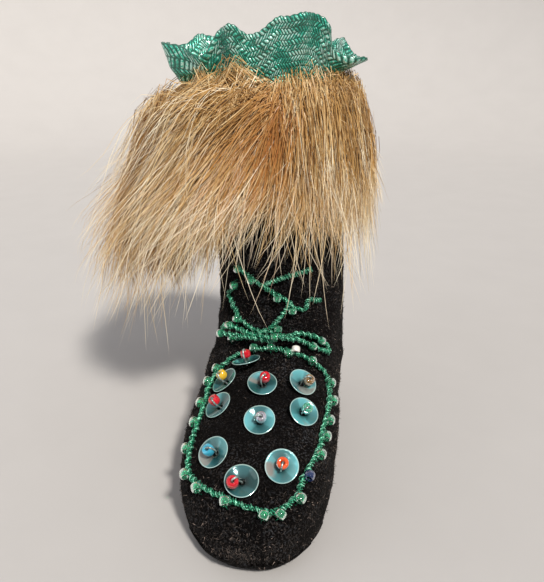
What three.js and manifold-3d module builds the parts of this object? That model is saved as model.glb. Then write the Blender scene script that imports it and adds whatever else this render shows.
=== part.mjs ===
// A miniature mukluk boot of black felt with a fur cuff, a ribbon ruffle, beaded cords and sequins.
// Millimetres, +Z up, toe toward -Y. The origin is on the sole's underside below the heel's centre.
import * as THREE from "three";
import { mergeVertices } from "three/addons/utils/BufferGeometryUtils.js";
import Module from "manifold-3d";

const wasm = await Module();
wasm.setup();

// The foot
const TOE_REACH = 57.6; // from the origin forward to the tip of the toe
const HEEL_REACH = 14.2; // from the origin back to the heel
const BALL_WIDTH = 31.3;
const INSTEP_HEIGHT = 25.2; // where the vamp meets the shaft
const TOE_SIDE_OFFSET = 2.1; // how far the toe turns to +X

// The shaft
const SHAFT_DEPTH = 27.1;
const SHAFT_WIDTH = 28.8;
const COLLAR_HEIGHT = 77;
const SHAFT_LEAN = 3.4; // how far the collar leans to -X

// Felt, and the clearance between neighbouring pieces
const FELT_THICKNESS = 1.8;
const SOLE_THICKNESS = 2.4;
const SOLE_EDGE = 0.3; // the sole stands this far outside the upper
const ARCH_RISE = 0.4;
const TOE_SPRING_HEIGHT = 1.2;
const PIECE_GAP = 0.3;
const VAMP_SEAM = 0.5; // the slit between the vamp and the upper
const VAMP_SUNK = 0.1; // the vamp's face lies this far below the upper's

// Trim
const CORD_DIAMETER = 0.9;
const BEAD_DIAMETER = 2.2;
const BEAD_HEIGHT = 1.6;
const SEQUIN_DIAMETER = 6;
const SEQUIN_WALL = 0.3;
const SEQUIN_HOLE = 1.1;
const SEQUIN_CUP = 0.9; // how far the rim stands above the centre
const RIBBON_WALL = 0.6;
const RIBBON_TUCK = 7; // the ribbon's sewn edge lies this far down inside the collar
const RIBBON_RISE = 4.2; // its free edge above the collar, between the gathers
const RIBBON_FLARE = 2; // its free edge outside its sewn edge, between the gathers
const FUR_TOP = 1.2; // the fur's top above the collar
const FUR_BAND = 25; // the height of the thick part of the fur in front
const FUR_DROP = 0.76; // how much taller it is on the -X side, as a share
const FUR_DEPTH = 5.2; // how far the thick part stands off the shaft
const FUR_SWEEP = 14.5; // how much further it stands off on the -X side
const LOCK_LENGTH = 15; // the free part of a long lock
const LOCK_WIDTH = 3.2;

// Sections of the foot, from the tip of the toe to the ankle. Each is a rounded section between
// a point on top and a point underneath.
// front: share of the way from the shaft's front to the toe; under: share of TOE_REACH;
// frontUp, underUp: shares of INSTEP_HEIGHT; half: share of half BALL_WIDTH; aside: share of
// TOE_SIDE_OFFSET; top, low: powers of the rounded section above and below its middle.
const FOOT_SECTIONS = [
  { front: 1.0, frontUp: 0.23, under: 1.0, underUp: 0.23, half: 0, aside: 1, top: 2.3, low: 2.3 },
  { front: 0.989, frontUp: 0.317, under: 0.991, underUp: 0.135, half: 0.24, aside: 1, top: 2.3, low: 2.3 },
  { front: 0.961, frontUp: 0.393, under: 0.97, underUp: 0.06, half: 0.39, aside: 1, top: 2.3, low: 2.4 },
  { front: 0.914, frontUp: 0.464, under: 0.934, underUp: 0, half: 0.54, aside: 0.9, top: 2.4, low: 2.6 },
  { front: 0.85, frontUp: 0.529, under: 0.885, underUp: -0.03, half: 0.69, aside: 0.76, top: 2.5, low: 2.7 },
  { front: 0.737, frontUp: 0.591, under: 0.799, underUp: -0.04, half: 0.85, aside: 0.52, top: 2.5, low: 2.8 },
  { front: 0.6, frontUp: 0.651, under: 0.694, underUp: -0.04, half: 0.933, aside: 0.29, top: 2.5, low: 2.8 },
  { front: 0.453, frontUp: 0.718, under: 0.538, underUp: -0.04, half: 0.984, aside: 0.05, top: 2.5, low: 2.8 },
  { front: 0.305, frontUp: 0.794, under: 0.356, underUp: -0.04, half: 1, aside: -0.19, top: 2.5, low: 2.8 },
  { front: 0.18, frontUp: 0.881, under: 0.156, underUp: -0.04, half: 1, aside: -0.38, top: 2.5, low: 2.8 },
  { front: 0.092, frontUp: 1, under: -0.035, underUp: -0.04, half: 0.987, aside: -0.48, top: 2.5, low: 2.7 },
];

// Sections of the shaft, from the ankle to the collar.
// front: share of half SHAFT_DEPTH; frontUp: share of the way from instep to collar;
// back: share of HEEL_REACH; backUp: share of COLLAR_HEIGHT; half: share of half SHAFT_WIDTH;
// lean: share of SHAFT_LEAN; fore, aft: powers of the section before and behind its middle.
const SHAFT_SECTIONS = [
  { front: 1.137, frontUp: 0.073, back: 0.669, backUp: 0.005, half: 1.056, lean: 0.29, fore: 2.4, aft: 2.5 },
  { front: 1.055, frontUp: 0.154, back: 0.944, backUp: 0.065, half: 1.038, lean: 0.27, fore: 2.3, aft: 2.3 },
  { front: 1.018, frontUp: 0.243, back: 1, backUp: 0.156, half: 1.024, lean: 0.235, fore: 2.2, aft: 2.2 },
  { front: 1.004, frontUp: 0.344, back: 0.965, backUp: 0.273, half: 1.01, lean: 0.22, fore: 2.2, aft: 2.2 },
  { front: 1.004, frontUp: 0.459, back: 0.937, backUp: 0.429, half: 1, lean: 0.294, fore: 2.2, aft: 2.2 },
  { front: 1.004, frontUp: 0.614, back: 0.937, backUp: 0.61, half: 1, lean: 0.47, fore: 2.2, aft: 2.2 },
  { front: 1.011, frontUp: 0.788, back: 0.944, backUp: 0.792, half: 1.003, lean: 0.71, fore: 2.2, aft: 2.2 },
  { front: 1.033, frontUp: 1, back: 0.958, backUp: 1, half: 1.014, lean: 1, fore: 2.2, aft: 2.2 },
];

// The tread: shares of TOE_REACH where the flat spots end and the toe spring begins
const HEEL_TREAD_END = 0.16;
const BALL_TREAD_START = 0.42;
const BALL_TREAD_END = 0.78;

const halfDepth = SHAFT_DEPTH / 2;
const sections = [
  ...FOOT_SECTIONS.map((s) => [
    -(halfDepth + s.front * (TOE_REACH - halfDepth)),
    s.frontUp * INSTEP_HEIGHT,
    -s.under * TOE_REACH,
    s.underUp * INSTEP_HEIGHT,
    (s.half * BALL_WIDTH) / 2,
    s.aside * TOE_SIDE_OFFSET,
    s.top,
    s.low,
  ]),
  ...SHAFT_SECTIONS.map((s) => [
    -s.front * halfDepth,
    INSTEP_HEIGHT + s.frontUp * (COLLAR_HEIGHT - INSTEP_HEIGHT),
    s.back * HEEL_REACH,
    s.backUp * COLLAR_HEIGHT,
    (s.half * SHAFT_WIDTH) / 2,
    -s.lean * SHAFT_LEAN,
    s.fore,
    s.aft,
  ]),
];
const COLLAR = sections.length - 1;

// One section between the listed ones, on a Catmull-Rom curve through each column.
function sectionAt(row) {
  const r = Math.min(Math.max(row, 0), COLLAR);
  const i = Math.min(Math.floor(r), COLLAR - 1);
  const f = r - i;
  const picked = [Math.max(i - 1, 0), i, i + 1, Math.min(i + 2, COLLAR)];
  const [a, b, c, d] = picked.map((k) => sections[k]);
  return b.map((_, k) => {
    const slope = c[k] - a[k];
    const bend = 2 * a[k] - 5 * b[k] + 4 * c[k] - d[k];
    const twist = d[k] - a[k] + 3 * (b[k] - c[k]);
    return b[k] + 0.5 * f * (slope + f * (bend + f * twist));
  });
}

const signedPower = (v, p) => Math.sign(v) * Math.abs(v) ** p;

// A point of the boot's skin. around is a share of half the girth: 0 is the front or top,
// 1 the back or underside, and positive is the +X side.
function skin(row, around) {
  const [frontY, frontZ, backY, backZ, half, aside, frontRound, backRound] = sectionAt(row);
  const turn = around * Math.PI;
  const power = 2 / (Math.cos(turn) >= 0 ? frontRound : backRound);
  const along = signedPower(Math.cos(turn), power);
  return new THREE.Vector3(
    aside + half * signedPower(Math.sin(turn), power),
    (frontY + backY) / 2 + ((frontY - backY) / 2) * along,
    (frontZ + backZ) / 2 + ((frontZ - backZ) / 2) * along,
  );
}

const STEP = 0.004; // the small step that the skin's slopes are taken over
const TIP = 0.06; // nearer the toe's tip than this row, the skin faces straight forward

function skinFacing(row, around) {
  if (row < TIP) return new THREE.Vector3(0, -1, 0);
  const alongSlope = skin(Math.min(row + STEP, COLLAR), around).sub(skin(row - STEP, around));
  const aroundSlope = skin(row, around + STEP).sub(skin(row, around - STEP));
  return aroundSlope.cross(alongSlope).normalize();
}

const lifted = (row, around, lift) =>
  skin(row, around).addScaledVector(skinFacing(row, around), lift);

// Trim is placed by tape: along is a share of the tape laid up the front from toe to collar.
const TAPE_STEPS = 600;
const tape = [0];
for (let i = 1; i <= TAPE_STEPS; i++) {
  const from = skin(((i - 1) / TAPE_STEPS) * COLLAR, 0);
  tape.push(tape[i - 1] + from.distanceTo(skin((i / TAPE_STEPS) * COLLAR, 0)));
}
function rowAt(along) {
  const length = along * tape[TAPE_STEPS];
  const i = Math.max(tape.findIndex((t) => t >= length), 1);
  return ((i - 1 + (length - tape[i - 1]) / (tape[i] - tape[i - 1])) / TAPE_STEPS) * COLLAR;
}
const onBoot = (along, around, lift) => lifted(rowAt(along), around, lift);

// Solids from closed geometry, and meshes from solids
const WELD = 1e-4; // points nearer than this are one point
function solidOf(geometry) {
  const bare = geometry.index ? geometry.toNonIndexed() : geometry.clone();
  bare.deleteAttribute("normal");
  bare.deleteAttribute("uv");
  const merged = mergeVertices(bare, WELD);
  return new wasm.Manifold(
    new wasm.Mesh({
      numProp: 3,
      vertProperties: merged.attributes.position.array,
      triVerts: new Uint32Array(merged.index.array),
    }),
  );
}

function geometryOf(solid) {
  const mesh = solid.getMesh();
  const points = new Float32Array(mesh.numVert * 3);
  for (let i = 0; i < mesh.numVert; i++) {
    points.set(mesh.vertProperties.subarray(i * mesh.numProp, i * mesh.numProp + 3), i * 3);
  }
  const geometry = new THREE.BufferGeometry();
  geometry.setAttribute("position", new THREE.BufferAttribute(points, 3));
  geometry.setIndex(new THREE.BufferAttribute(new Uint32Array(mesh.triVerts), 1));
  geometry.computeVertexNormals();
  return geometry;
}

function indexed(points, triangles) {
  const geometry = new THREE.BufferGeometry();
  const flat = points.flatMap((p) => p.toArray());
  geometry.setAttribute("position", new THREE.Float32BufferAttribute(flat, 3));
  geometry.setIndex(triangles.flat());
  return geometry;
}

// Triangles between two rings of the same number of points, facing outward when the second ring
// follows the first along the skin.
function strip(a, b, sides) {
  const triangles = [];
  for (let j = 0; j < sides; j++) {
    const k = (j + 1) % sides;
    triangles.push([a + j, a + k, b + k], [a + j, b + k, b + j]);
  }
  return triangles;
}

// Triangles from a centre point to the ring that follows it
const fan = (centre, ring, sides) =>
  Array.from({ length: sides }, (_, j) => [centre, ring + ((j + 1) % sides), ring + j]);

const turnedOver = (triangles) => triangles.map(([a, b, c]) => [a, c, b]);

const spread = (count, from, to) =>
  Array.from({ length: count }, (_, i) => from + ((to - from) * i) / (count - 1));

// The boot's whole form, pushed out by lift and closed at its top by rise above the collar
function bootForm(lift, rows, sides, rise) {
  const points = [lifted(0, 0, lift)];
  for (const row of rows) {
    for (let j = 0; j < sides; j++) points.push(lifted(row, (2 * j) / sides, lift));
  }
  const collar = points.length - sides;
  for (let j = 0; j < sides; j++) {
    points.push(points[collar + j].clone().setZ(COLLAR_HEIGHT + rise));
  }
  const rings = rows.length + 1;
  const last = 1 + (rings - 1) * sides;
  points.push(points[last].clone().lerp(points[last + sides / 2], 0.5));
  const triangles = fan(0, 1, sides);
  for (let i = 0; i < rings - 1; i++) {
    triangles.push(...strip(1 + i * sides, 1 + (i + 1) * sides, sides));
  }
  triangles.push(...turnedOver(fan(points.length - 1, last, sides)));
  return solidOf(indexed(points, triangles));
}

// The underside's height along the foot: flat heel and ball, a low arch and the toe spring
function treadHeight(y) {
  const share = -y / TOE_REACH;
  if (share > HEEL_TREAD_END && share < BALL_TREAD_START) {
    const inArch = (share - HEEL_TREAD_END) / (BALL_TREAD_START - HEEL_TREAD_END);
    return ARCH_RISE * Math.sin(inArch * Math.PI) ** 2;
  }
  return TOE_SPRING_HEIGHT * (Math.max(share - BALL_TREAD_END, 0) / (1 - BALL_TREAD_END)) ** 2;
}

// A slab across the whole foot between two heights above the tread
const SLAB_OVER = 6; // how far the slab reaches past the foot
const SLAB_STEPS = 6; // the facets of its arch and of its toe spring
function slab(low, high) {
  const ys = [
    HEEL_REACH + SLAB_OVER,
    ...spread(SLAB_STEPS, HEEL_TREAD_END, BALL_TREAD_START).map((s) => -s * TOE_REACH),
    ...spread(SLAB_STEPS, BALL_TREAD_END, 1).map((s) => -s * TOE_REACH),
    -TOE_REACH - SLAB_OVER,
  ];
  const edge = (height) => ys.map((y) => new THREE.Vector2(y, height(y)));
  const top = edge((y) => treadHeight(y) + high);
  const bottom = edge((y) => (low < 0 ? low : treadHeight(y) + low));
  const width = BALL_WIDTH + 2 * SLAB_OVER;
  const slabShape = new THREE.Shape([...bottom, ...top.reverse()]);
  const block = new THREE.ExtrudeGeometry(slabShape, { depth: width, bevelEnabled: false });
  const turned = new THREE.Matrix4().makeBasis(
    new THREE.Vector3(0, 1, 0),
    new THREE.Vector3(0, 0, 1),
    new THREE.Vector3(1, 0, 0),
  );
  turned.setPosition(-width / 2, 0, 0);
  return solidOf(block.applyMatrix4(turned));
}

// The vamp's edge, which its cord follows: by tape from the ankle's left round the toe
const VAMP_EDGE = [
  { along: 0.448, around: -0.03 },
  { along: 0.451, around: 0.06 },
  { along: 0.441, around: 0.16 },
  { along: 0.414, around: 0.275 },
  { along: 0.365, around: 0.3 },
  { along: 0.29, around: 0.275 },
  { along: 0.22, around: 0.262 },
  { along: 0.16, around: 0.222 },
  { along: 0.112, around: 0.222 },
  { along: 0.084, around: 0.165 },
  { along: 0.076, around: 0.06 },
  { along: 0.088, around: -0.07 },
  { along: 0.108, around: -0.19 },
  { along: 0.15, around: -0.29 },
  { along: 0.214, around: -0.28 },
  { along: 0.29, around: -0.236 },
  { along: 0.362, around: -0.218 },
  { along: 0.415, around: -0.15 },
];
const VAMP_MIDDLE = { along: 0.27, around: 0.02 };
const vampEdge = new THREE.CatmullRomCurve3(
  VAMP_EDGE.map((p) => new THREE.Vector3(p.along, p.around, 0)),
  true,
);

// A closed patch of the boot's wall inside the vamp's edge, from one lift down to another
const VAMP_SIDES = 28;
const VAMP_RINGS = [0.35, 0.7, 1];
const vampMiddle = new THREE.Vector3(VAMP_MIDDLE.along, VAMP_MIDDLE.around, 0);

// How far the middle lies from the line that the edge follows at a share of its length
function edgeReach(share) {
  const edge = vampEdge.getPoint(share);
  const ahead = edge.clone().addScaledVector(vampEdge.getTangent(share), STEP);
  const at = onBoot(edge.x, edge.y, 0);
  const out = onBoot(ahead.x, ahead.y, 0).sub(at).cross(skinFacing(rowAt(edge.x), edge.y));
  return Math.abs(at.sub(onBoot(vampMiddle.x, vampMiddle.y, 0)).dot(out.normalize()));
}

function vampPatch(high, low, grow) {
  const points = [];
  for (const lift of [high, low]) {
    points.push(onBoot(vampMiddle.x, vampMiddle.y, lift));
    for (const ring of VAMP_RINGS) {
      for (let j = 0; j < VAMP_SIDES; j++) {
        const share = j / VAMP_SIDES;
        const scale = ring * (1 + grow / edgeReach(share));
        const at = vampMiddle.clone().lerp(vampEdge.getPoint(share), scale);
        points.push(onBoot(at.x, at.y, lift));
      }
    }
  }
  const layer = 1 + VAMP_RINGS.length * VAMP_SIDES;
  const cap = (start) => {
    const triangles = fan(start, start + 1, VAMP_SIDES);
    for (let i = 0; i < VAMP_RINGS.length - 1; i++) {
      const ringStart = start + 1 + i * VAMP_SIDES;
      triangles.push(...strip(ringStart, ringStart + VAMP_SIDES, VAMP_SIDES));
    }
    return triangles;
  };
  const rim = 1 + (VAMP_RINGS.length - 1) * VAMP_SIDES;
  const wall = strip(rim, layer + rim, VAMP_SIDES);
  return solidOf(indexed(points, [...cap(0), ...turnedOver(cap(layer)), ...wall]));
}

// Materials
const finish = (colour, roughness, metalness = 0) =>
  new THREE.MeshStandardMaterial({ color: colour, roughness, metalness });
const felt = finish(0x1c1a1b, 0.95);
const furFinish = finish(0xc2a57c, 0.8);
const ribbonFinish = finish(0x35b494, 0.35, 0.5);
const cordFinish = finish(0x2f9c7a, 0.55);
const sequinFinish = finish(0x9fdcd8, 0.2, 0.2);

const boot = new THREE.Group();
function add(name, solid, material) {
  const mesh = new THREE.Mesh(geometryOf(solid), material);
  mesh.name = name;
  boot.add(mesh);
}

// Sole and upper
// The rows that their rings lie on: closer at the toe, wider up the straight shaft
const SHAFT_START = 14.5; // the shaft is straight from this row to the collar
const SHAFT_MIDDLE = 16.2;
const OUTER_ROWS = [0.3, 0.65, 1, 1.5, ...spread(17, 2.3, SHAFT_START), SHAFT_MIDDLE, COLLAR];
const INNER_ROWS = [0.6, 1.3, ...spread(11, 2.5, SHAFT_START), SHAFT_MIDDLE, COLLAR];
const OUTER_SIDES = 30;
const INNER_SIDES = 22;
const OPEN_OVER = 2; // cutters reach this far past what they cut

const outside = bootForm(0, OUTER_ROWS, OUTER_SIDES, 0);
const inside = bootForm(-FELT_THICKNESS, INNER_ROWS, INNER_SIDES, OPEN_OVER);
const footBlock = slab(-SLAB_OVER, SOLE_THICKNESS + PIECE_GAP);
const vampHole = vampPatch(OPEN_OVER, -FELT_THICKNESS - OPEN_OVER, VAMP_SEAM);
add("upper", outside.subtract(inside).subtract(footBlock).subtract(vampHole), felt);
const soleForm = bootForm(SOLE_EDGE, OUTER_ROWS, OUTER_SIDES, 0);
add("sole", soleForm.intersect(slab(0, SOLE_THICKNESS)), felt);
add("vamp", vampPatch(-VAMP_SUNK, -FELT_THICKNESS, 0), felt);

// Cords and beads
const SEWN_SIDES = 6; // the sides of a cord that is sewn down
const FREE_SIDES = 8; // and of one that lies free
const CORD_LIFT = PIECE_GAP + CORD_DIAMETER / 2; // a cord's middle, lying on the felt
function cordSolid(points, steps, sides) {
  const radius = CORD_DIAMETER / 2;
  const turns = spread(sides + 1, 0, 2 * Math.PI).slice(1);
  const ring = turns.map((a) => new THREE.Vector2(radius * Math.cos(a), radius * Math.sin(a)));
  const extrudePath = new THREE.CatmullRomCurve3(points, false, "centripetal");
  const settings = { extrudePath, steps, bevelEnabled: false };
  return solidOf(new THREE.ExtrudeGeometry(new THREE.Shape(ring), settings));
}

// A seed bead: a short barrel standing on facing, with its middle at a point
const BEAD_SIDES = 6;
const BEAD_END = 0.74; // the barrel's end as a share of its girth
function beadSolid(middle, facing, size = 1) {
  const radius = (size * BEAD_DIAMETER) / 2;
  const half = (size * BEAD_HEIGHT) / 2;
  const barrel = [
    [0, -half],
    [radius * BEAD_END, -half],
    [radius, 0],
    [radius * BEAD_END, half],
    [0, half],
  ];
  const outline = barrel.map(([r, y]) => new THREE.Vector2(r, y));
  const turned = new THREE.LatheGeometry(outline, BEAD_SIDES);
  const upright = new THREE.Vector3(0, 1, 0);
  turned.applyQuaternion(new THREE.Quaternion().setFromUnitVectors(upright, facing));
  return solidOf(turned.translate(middle.x, middle.y, middle.z));
}

// The cord round the vamp, with its beads beside it. Its two ends meet inside the first bead.
const VAMP_BEADS = [
  { along: 0.448, around: -0.034 },
  { along: 0.452, around: 0.01 },
  { along: 0.4432, around: 0.07 },
  { along: 0.437, around: 0.175 },
  { along: 0.404, around: 0.292 },
  { along: 0.365, around: 0.316 },
  { along: 0.31, around: 0.3 },
  { along: 0.267, around: 0.29 },
  { along: 0.22, around: 0.278 },
  { along: 0.162, around: 0.243 },
  { along: 0.1163, around: 0.248 },
  { along: 0.08, around: 0.189 },
  { along: 0.0693, around: 0.099 },
  { along: 0.0837, around: -0.096 },
  { along: 0.1143, around: -0.25 },
  { along: 0.1501, around: -0.314 },
  { along: 0.206, around: -0.304 },
  { along: 0.264, around: -0.268 },
  { along: 0.312, around: -0.248 },
  { along: 0.3678, around: -0.231 },
  { along: 0.398, around: -0.192 },
];
const WHITE_BEAD = { along: 0.4554, around: 0.098 };
const SEWN_BEAD_SHARE = 0.92; // a bead beside the vamp's cord, as a share of a whole one
const LACED_BEAD_SHARE = 0.85; // and one beside the lace
const BEAD_LIFT = PIECE_GAP + (LACED_BEAD_SHARE * BEAD_DIAMETER) / 2; // a bead's middle above the felt
const alongBoot = (spot) => {
  const ahead = onBoot(spot.along + STEP, spot.around, BEAD_LIFT);
  return ahead.sub(onBoot(spot.along - STEP, spot.around, BEAD_LIFT)).normalize();
};
const lyingBead = (spot, size) =>
  beadSolid(onBoot(spot.along, spot.around, BEAD_LIFT), alongBoot(spot), size);
const joined = (solids) => solids.reduce((all, one) => all.add(one));

const VAMP_CORD_STEPS = 27;
const VAMP_CORD_ENDS = [0.004, 0.986]; // shares of the edge's length, both inside the first bead
const vampCordPath = spread(VAMP_CORD_STEPS + 1, ...VAMP_CORD_ENDS).map((share) => {
  const edge = vampEdge.getPoint(share);
  return onBoot(edge.x, edge.y, CORD_LIFT);
});
const vampBeads = VAMP_BEADS.map((spot) => lyingBead(spot, SEWN_BEAD_SHARE));
vampBeads.push(lyingBead(WHITE_BEAD, LACED_BEAD_SHARE));
const vampCord = cordSolid(vampCordPath, VAMP_CORD_STEPS, SEWN_SIDES);
add("vamp_cord", joined([vampCord, ...vampBeads]), cordFinish);

// The lace: crossed cords sewn on the front of the shaft, and beads threaded beside them
const LACE_CORDS = [
  [
    { along: 0.636, around: -0.146 },
    { along: 0.61, around: -0.075 },
    { along: 0.594, around: -0.029 },
    { along: 0.578, around: 0.016 },
    { along: 0.564, around: 0.061 },
    { along: 0.552, around: 0.102 },
    { along: 0.556, around: 0.145 },
    { along: 0.575, around: 0.152 },
    { along: 0.585, around: 0.222 },
  ],
  [
    { along: 0.648, around: 0.172 },
    { along: 0.628, around: 0.095 },
    { along: 0.61, around: 0.02 },
    { along: 0.596, around: -0.03 },
  ],
  [
    { along: 0.566, around: 0.075 },
    { along: 0.545, around: 0.055 },
    { along: 0.512, around: 0.018 },
    { along: 0.495, around: -0.005 },
    { along: 0.482, around: -0.04 },
    { along: 0.476, around: -0.09 },
    { along: 0.476, around: -0.13 },
  ],
  [
    { along: 0.602, around: -0.175 },
    { along: 0.585, around: -0.208 },
    { along: 0.558, around: -0.168 },
    { along: 0.528, around: -0.128 },
    { along: 0.508, around: -0.085 },
    { along: 0.494, around: -0.035 },
    { along: 0.49, around: 0.015 },
    { along: 0.485, around: 0.05 },
  ],
];
const LACE_BEADS = [
  { along: 0.638, around: -0.15 },
  { along: 0.609, around: -0.08 },
  { along: 0.602, around: -0.168 },
  { along: 0.57, around: 0.022 },
  { along: 0.545, around: 0.082 },
  { along: 0.52, around: -0.128 },
  { along: 0.474, around: -0.135 },
  { along: 0.478, around: -0.07 },
  { along: 0.499, around: 0.028 },
];
const LACE_STEPS = 1.6; // facets along a cord for each of its spots
const laceBeads = LACE_BEADS.map((spot) => lyingBead(spot, LACED_BEAD_SHARE));
const laceCords = LACE_CORDS.map((spots) => {
  const points = spots.map((spot) => onBoot(spot.along, spot.around, CORD_LIFT));
  return cordSolid(points, Math.round(LACE_STEPS * spots.length), SEWN_SIDES);
});
add("lace_crossings", joined([...laceCords, ...laceBeads]), cordFinish);

// The bow at the ankle: a long loop to +X, then a short one to -X, its ends held in the crossing.
// lift: how many times BOW_LIFT its middle lies above the clearance to the felt.
const BOW_LIFT = 1.15;
const BOW_ROUTE = [
  { along: 0.48, around: 0.04, lift: 1.85 },
  { along: 0.486, around: 0.07, lift: 1.85 },
  { along: 0.494, around: 0.105, lift: 1.3 },
  { along: 0.497, around: 0.15, lift: 0.7 },
  { along: 0.495, around: 0.21, lift: 0.55 },
  { along: 0.488, around: 0.265, lift: 0.55 },
  { along: 0.478, around: 0.275, lift: 0.55 },
  { along: 0.472, around: 0.24, lift: 0.6 },
  { along: 0.473, around: 0.18, lift: 0.7 },
  { along: 0.475, around: 0.12, lift: 1.4 },
  { along: 0.474, around: 0.07, lift: 2.7 },
  { along: 0.472, around: 0.02, lift: 3.1 },
  { along: 0.477, around: -0.03, lift: 3 },
  { along: 0.492, around: -0.08, lift: 2.6 },
  { along: 0.503, around: -0.14, lift: 2.4 },
  { along: 0.5, around: -0.19, lift: 1.4 },
  { along: 0.488, around: -0.205, lift: 1.4 },
  { along: 0.48, around: -0.16, lift: 2.7 },
  { along: 0.472, around: -0.09, lift: 2.8 },
  { along: 0.465, around: -0.03, lift: 2.8 },
  { along: 0.464, around: 0.02, lift: 1.9 },
];
const BOW_STEPS = 38;
const bowPath = BOW_ROUTE.map((spot) =>
  onBoot(spot.along, spot.around, PIECE_GAP + spot.lift * BOW_LIFT),
);
add("lace_bow", cordSolid(bowPath, BOW_STEPS, FREE_SIDES), cordFinish);

// The sequins, each held by a seed bead. pitch turns a sequin's face toward the toe and roll
// toward +X, in degrees; beadAlong and beadAside move its bead off its centre, as shares of
// SEQUIN_DIAMETER.
const SEQUINS = [
  { along: 0.402, around: -0.05, pitch: -34, roll: -10, beadAlong: 0.1, beadAside: 0 },
  { along: 0.357, around: -0.125, pitch: -4, roll: -22, beadAlong: 0.12, beadAside: 0 },
  { along: 0.355, around: 0, pitch: 2, roll: 4, beadAlong: 0.12, beadAside: 0.08 },
  { along: 0.375, around: 0.134, pitch: 4, roll: 14, beadAlong: 0.02, beadAside: 0.14 },
  { along: 0.293, around: -0.136, pitch: 2, roll: -18, beadAlong: 0.1, beadAside: -0.04 },
  { along: 0.26, around: 0.005, pitch: 16, roll: 0, beadAlong: 0.02, beadAside: 0.06 },
  { along: 0.3, around: 0.153, pitch: 10, roll: 10, beadAlong: 0.06, beadAside: 0.04 },
  { along: 0.178, around: -0.13, pitch: 14, roll: -12, beadAlong: 0.02, beadAside: -0.08 },
  { along: 0.161, around: 0.106, pitch: 24, roll: 2, beadAlong: 0.06, beadAside: 0 },
  { along: 0.119, around: -0.018, pitch: 8, roll: 4, beadAlong: -0.14, beadAside: -0.24 },
];
const SEQUIN_SIDES = 11;
const numbered = (name, i) => name + "_" + String(i + 1).padStart(2, "0");

const SEQUIN_RIM = SEQUIN_DIAMETER / 2;
const cupHeight = (radius) =>
  SEQUIN_WALL + (SEQUIN_CUP * Math.min(radius, SEQUIN_RIM)) / SEQUIN_RIM;

// A cupped ring that stands on +Y, closed through its centre hole
function sequinShape() {
  const top = [SEQUIN_HOLE / 2, SEQUIN_RIM].map((radius) => [radius, cupHeight(radius)]);
  const bottom = top.map(([r, y]) => [r, y - SEQUIN_WALL]);
  const outline = [...bottom, ...top.reverse(), bottom[0]].map(([r, y]) => new THREE.Vector2(r, y));
  return new THREE.LatheGeometry(outline, SEQUIN_SIDES);
}

SEQUINS.forEach((spot, i) => {
  const facing = skinFacing(rowAt(spot.along), spot.around);
  const ahead = onBoot(spot.along + STEP, spot.around, 0);
  const toAnkle = ahead.sub(onBoot(spot.along - STEP, spot.around, 0)).normalize();
  const toSide = new THREE.Vector3().crossVectors(toAnkle, facing).normalize();
  facing.applyAxisAngle(toSide, THREE.MathUtils.degToRad(spot.pitch));
  facing.applyAxisAngle(toAnkle, THREE.MathUtils.degToRad(spot.roll));
  const tilt = THREE.MathUtils.degToRad(Math.hypot(spot.pitch, spot.roll));
  const edgeDrop = (SEQUIN_DIAMETER / 2) * Math.sin(tilt) - SEQUIN_CUP * Math.cos(tilt);
  const seat = onBoot(spot.along, spot.around, PIECE_GAP + Math.max(edgeDrop, 0));
  const turn = new THREE.Quaternion().setFromUnitVectors(new THREE.Vector3(0, 1, 0), facing);
  const cup = sequinShape().applyQuaternion(turn).translate(seat.x, seat.y, seat.z);
  add(numbered("sequin", i), solidOf(cup), sequinFinish);
  const aside = Math.hypot(spot.beadAlong, spot.beadAside) * SEQUIN_DIAMETER;
  const underBead = cupHeight(aside + BEAD_DIAMETER / 2);
  const beadAt = seat.addScaledVector(facing, underBead + PIECE_GAP + BEAD_HEIGHT / 2);
  beadAt.addScaledVector(toAnkle, spot.beadAlong * SEQUIN_DIAMETER);
  beadAt.addScaledVector(toSide, spot.beadAside * SEQUIN_DIAMETER);
  add(numbered("sequin_bead", i), beadSolid(beadAt, facing), sequinFinish);
});

// A ring round the shaft, closed on itself: profile gives each ring's place for one angle
function ringSolid(rings, sides, place) {
  const points = [];
  for (let i = 0; i < rings; i++) {
    for (let j = 0; j < sides; j++) points.push(place(i, (2 * j) / sides));
  }
  const triangles = [];
  for (let i = 0; i < rings; i++) {
    triangles.push(...strip(i * sides, ((i + 1) % rings) * sides, sides));
  }
  return solidOf(indexed(points, triangles));
}

// A point beside the shaft at a height, pushed out level from its skin
const ANKLE_ROW = FOOT_SECTIONS.length;
const HALVINGS = 20;
function beside(height, around, out) {
  let [low, high] = [ANKLE_ROW, COLLAR];
  for (let i = 0; i < HALVINGS; i++) {
    const middle = (low + high) / 2;
    if (skin(middle, around).z < height) low = middle;
    else high = middle;
  }
  const level = skinFacing(high, around).setZ(0).normalize();
  return skin(high, around).addScaledVector(level, out).setZ(height);
}

// The fur: a ring that hangs from the collar. On the -X side it sweeps out and is hollow under there.
// up: share of its height from its lower edge; out: share of its depth there; hollow: share of
// the sweep that is added on its inner face.
const FUR_PROFILE = [
  { up: 0, out: 0.74, hollow: 0 },
  { up: 0.07, out: 0.93, hollow: 0 },
  { up: 0.3, out: 1.06, hollow: 0 },
  { up: 0.55, out: 0.9, hollow: 0 },
  { up: 0.73, out: 0.7, hollow: 0 },
  { up: 0.95, out: 0.45, hollow: 0 },
  { up: 1, out: 0.22, hollow: 0 },
  { up: 0.97, out: 0, hollow: 0 },
  { up: 0.8, out: 0, hollow: 0.42 },
  { up: 0.55, out: 0, hollow: 0.8 },
  { up: 0.06, out: 0.3, hollow: 0.55 },
];
const FUR_SIDES = 30;
const furTop = COLLAR_HEIGHT + FUR_TOP;
const SWEEP_FALL = 1.3; // how quickly the sweep fades away from the -X side
const sweep = (around) => Math.max(-Math.sin(around * Math.PI), 0) ** SWEEP_FALL;
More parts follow.
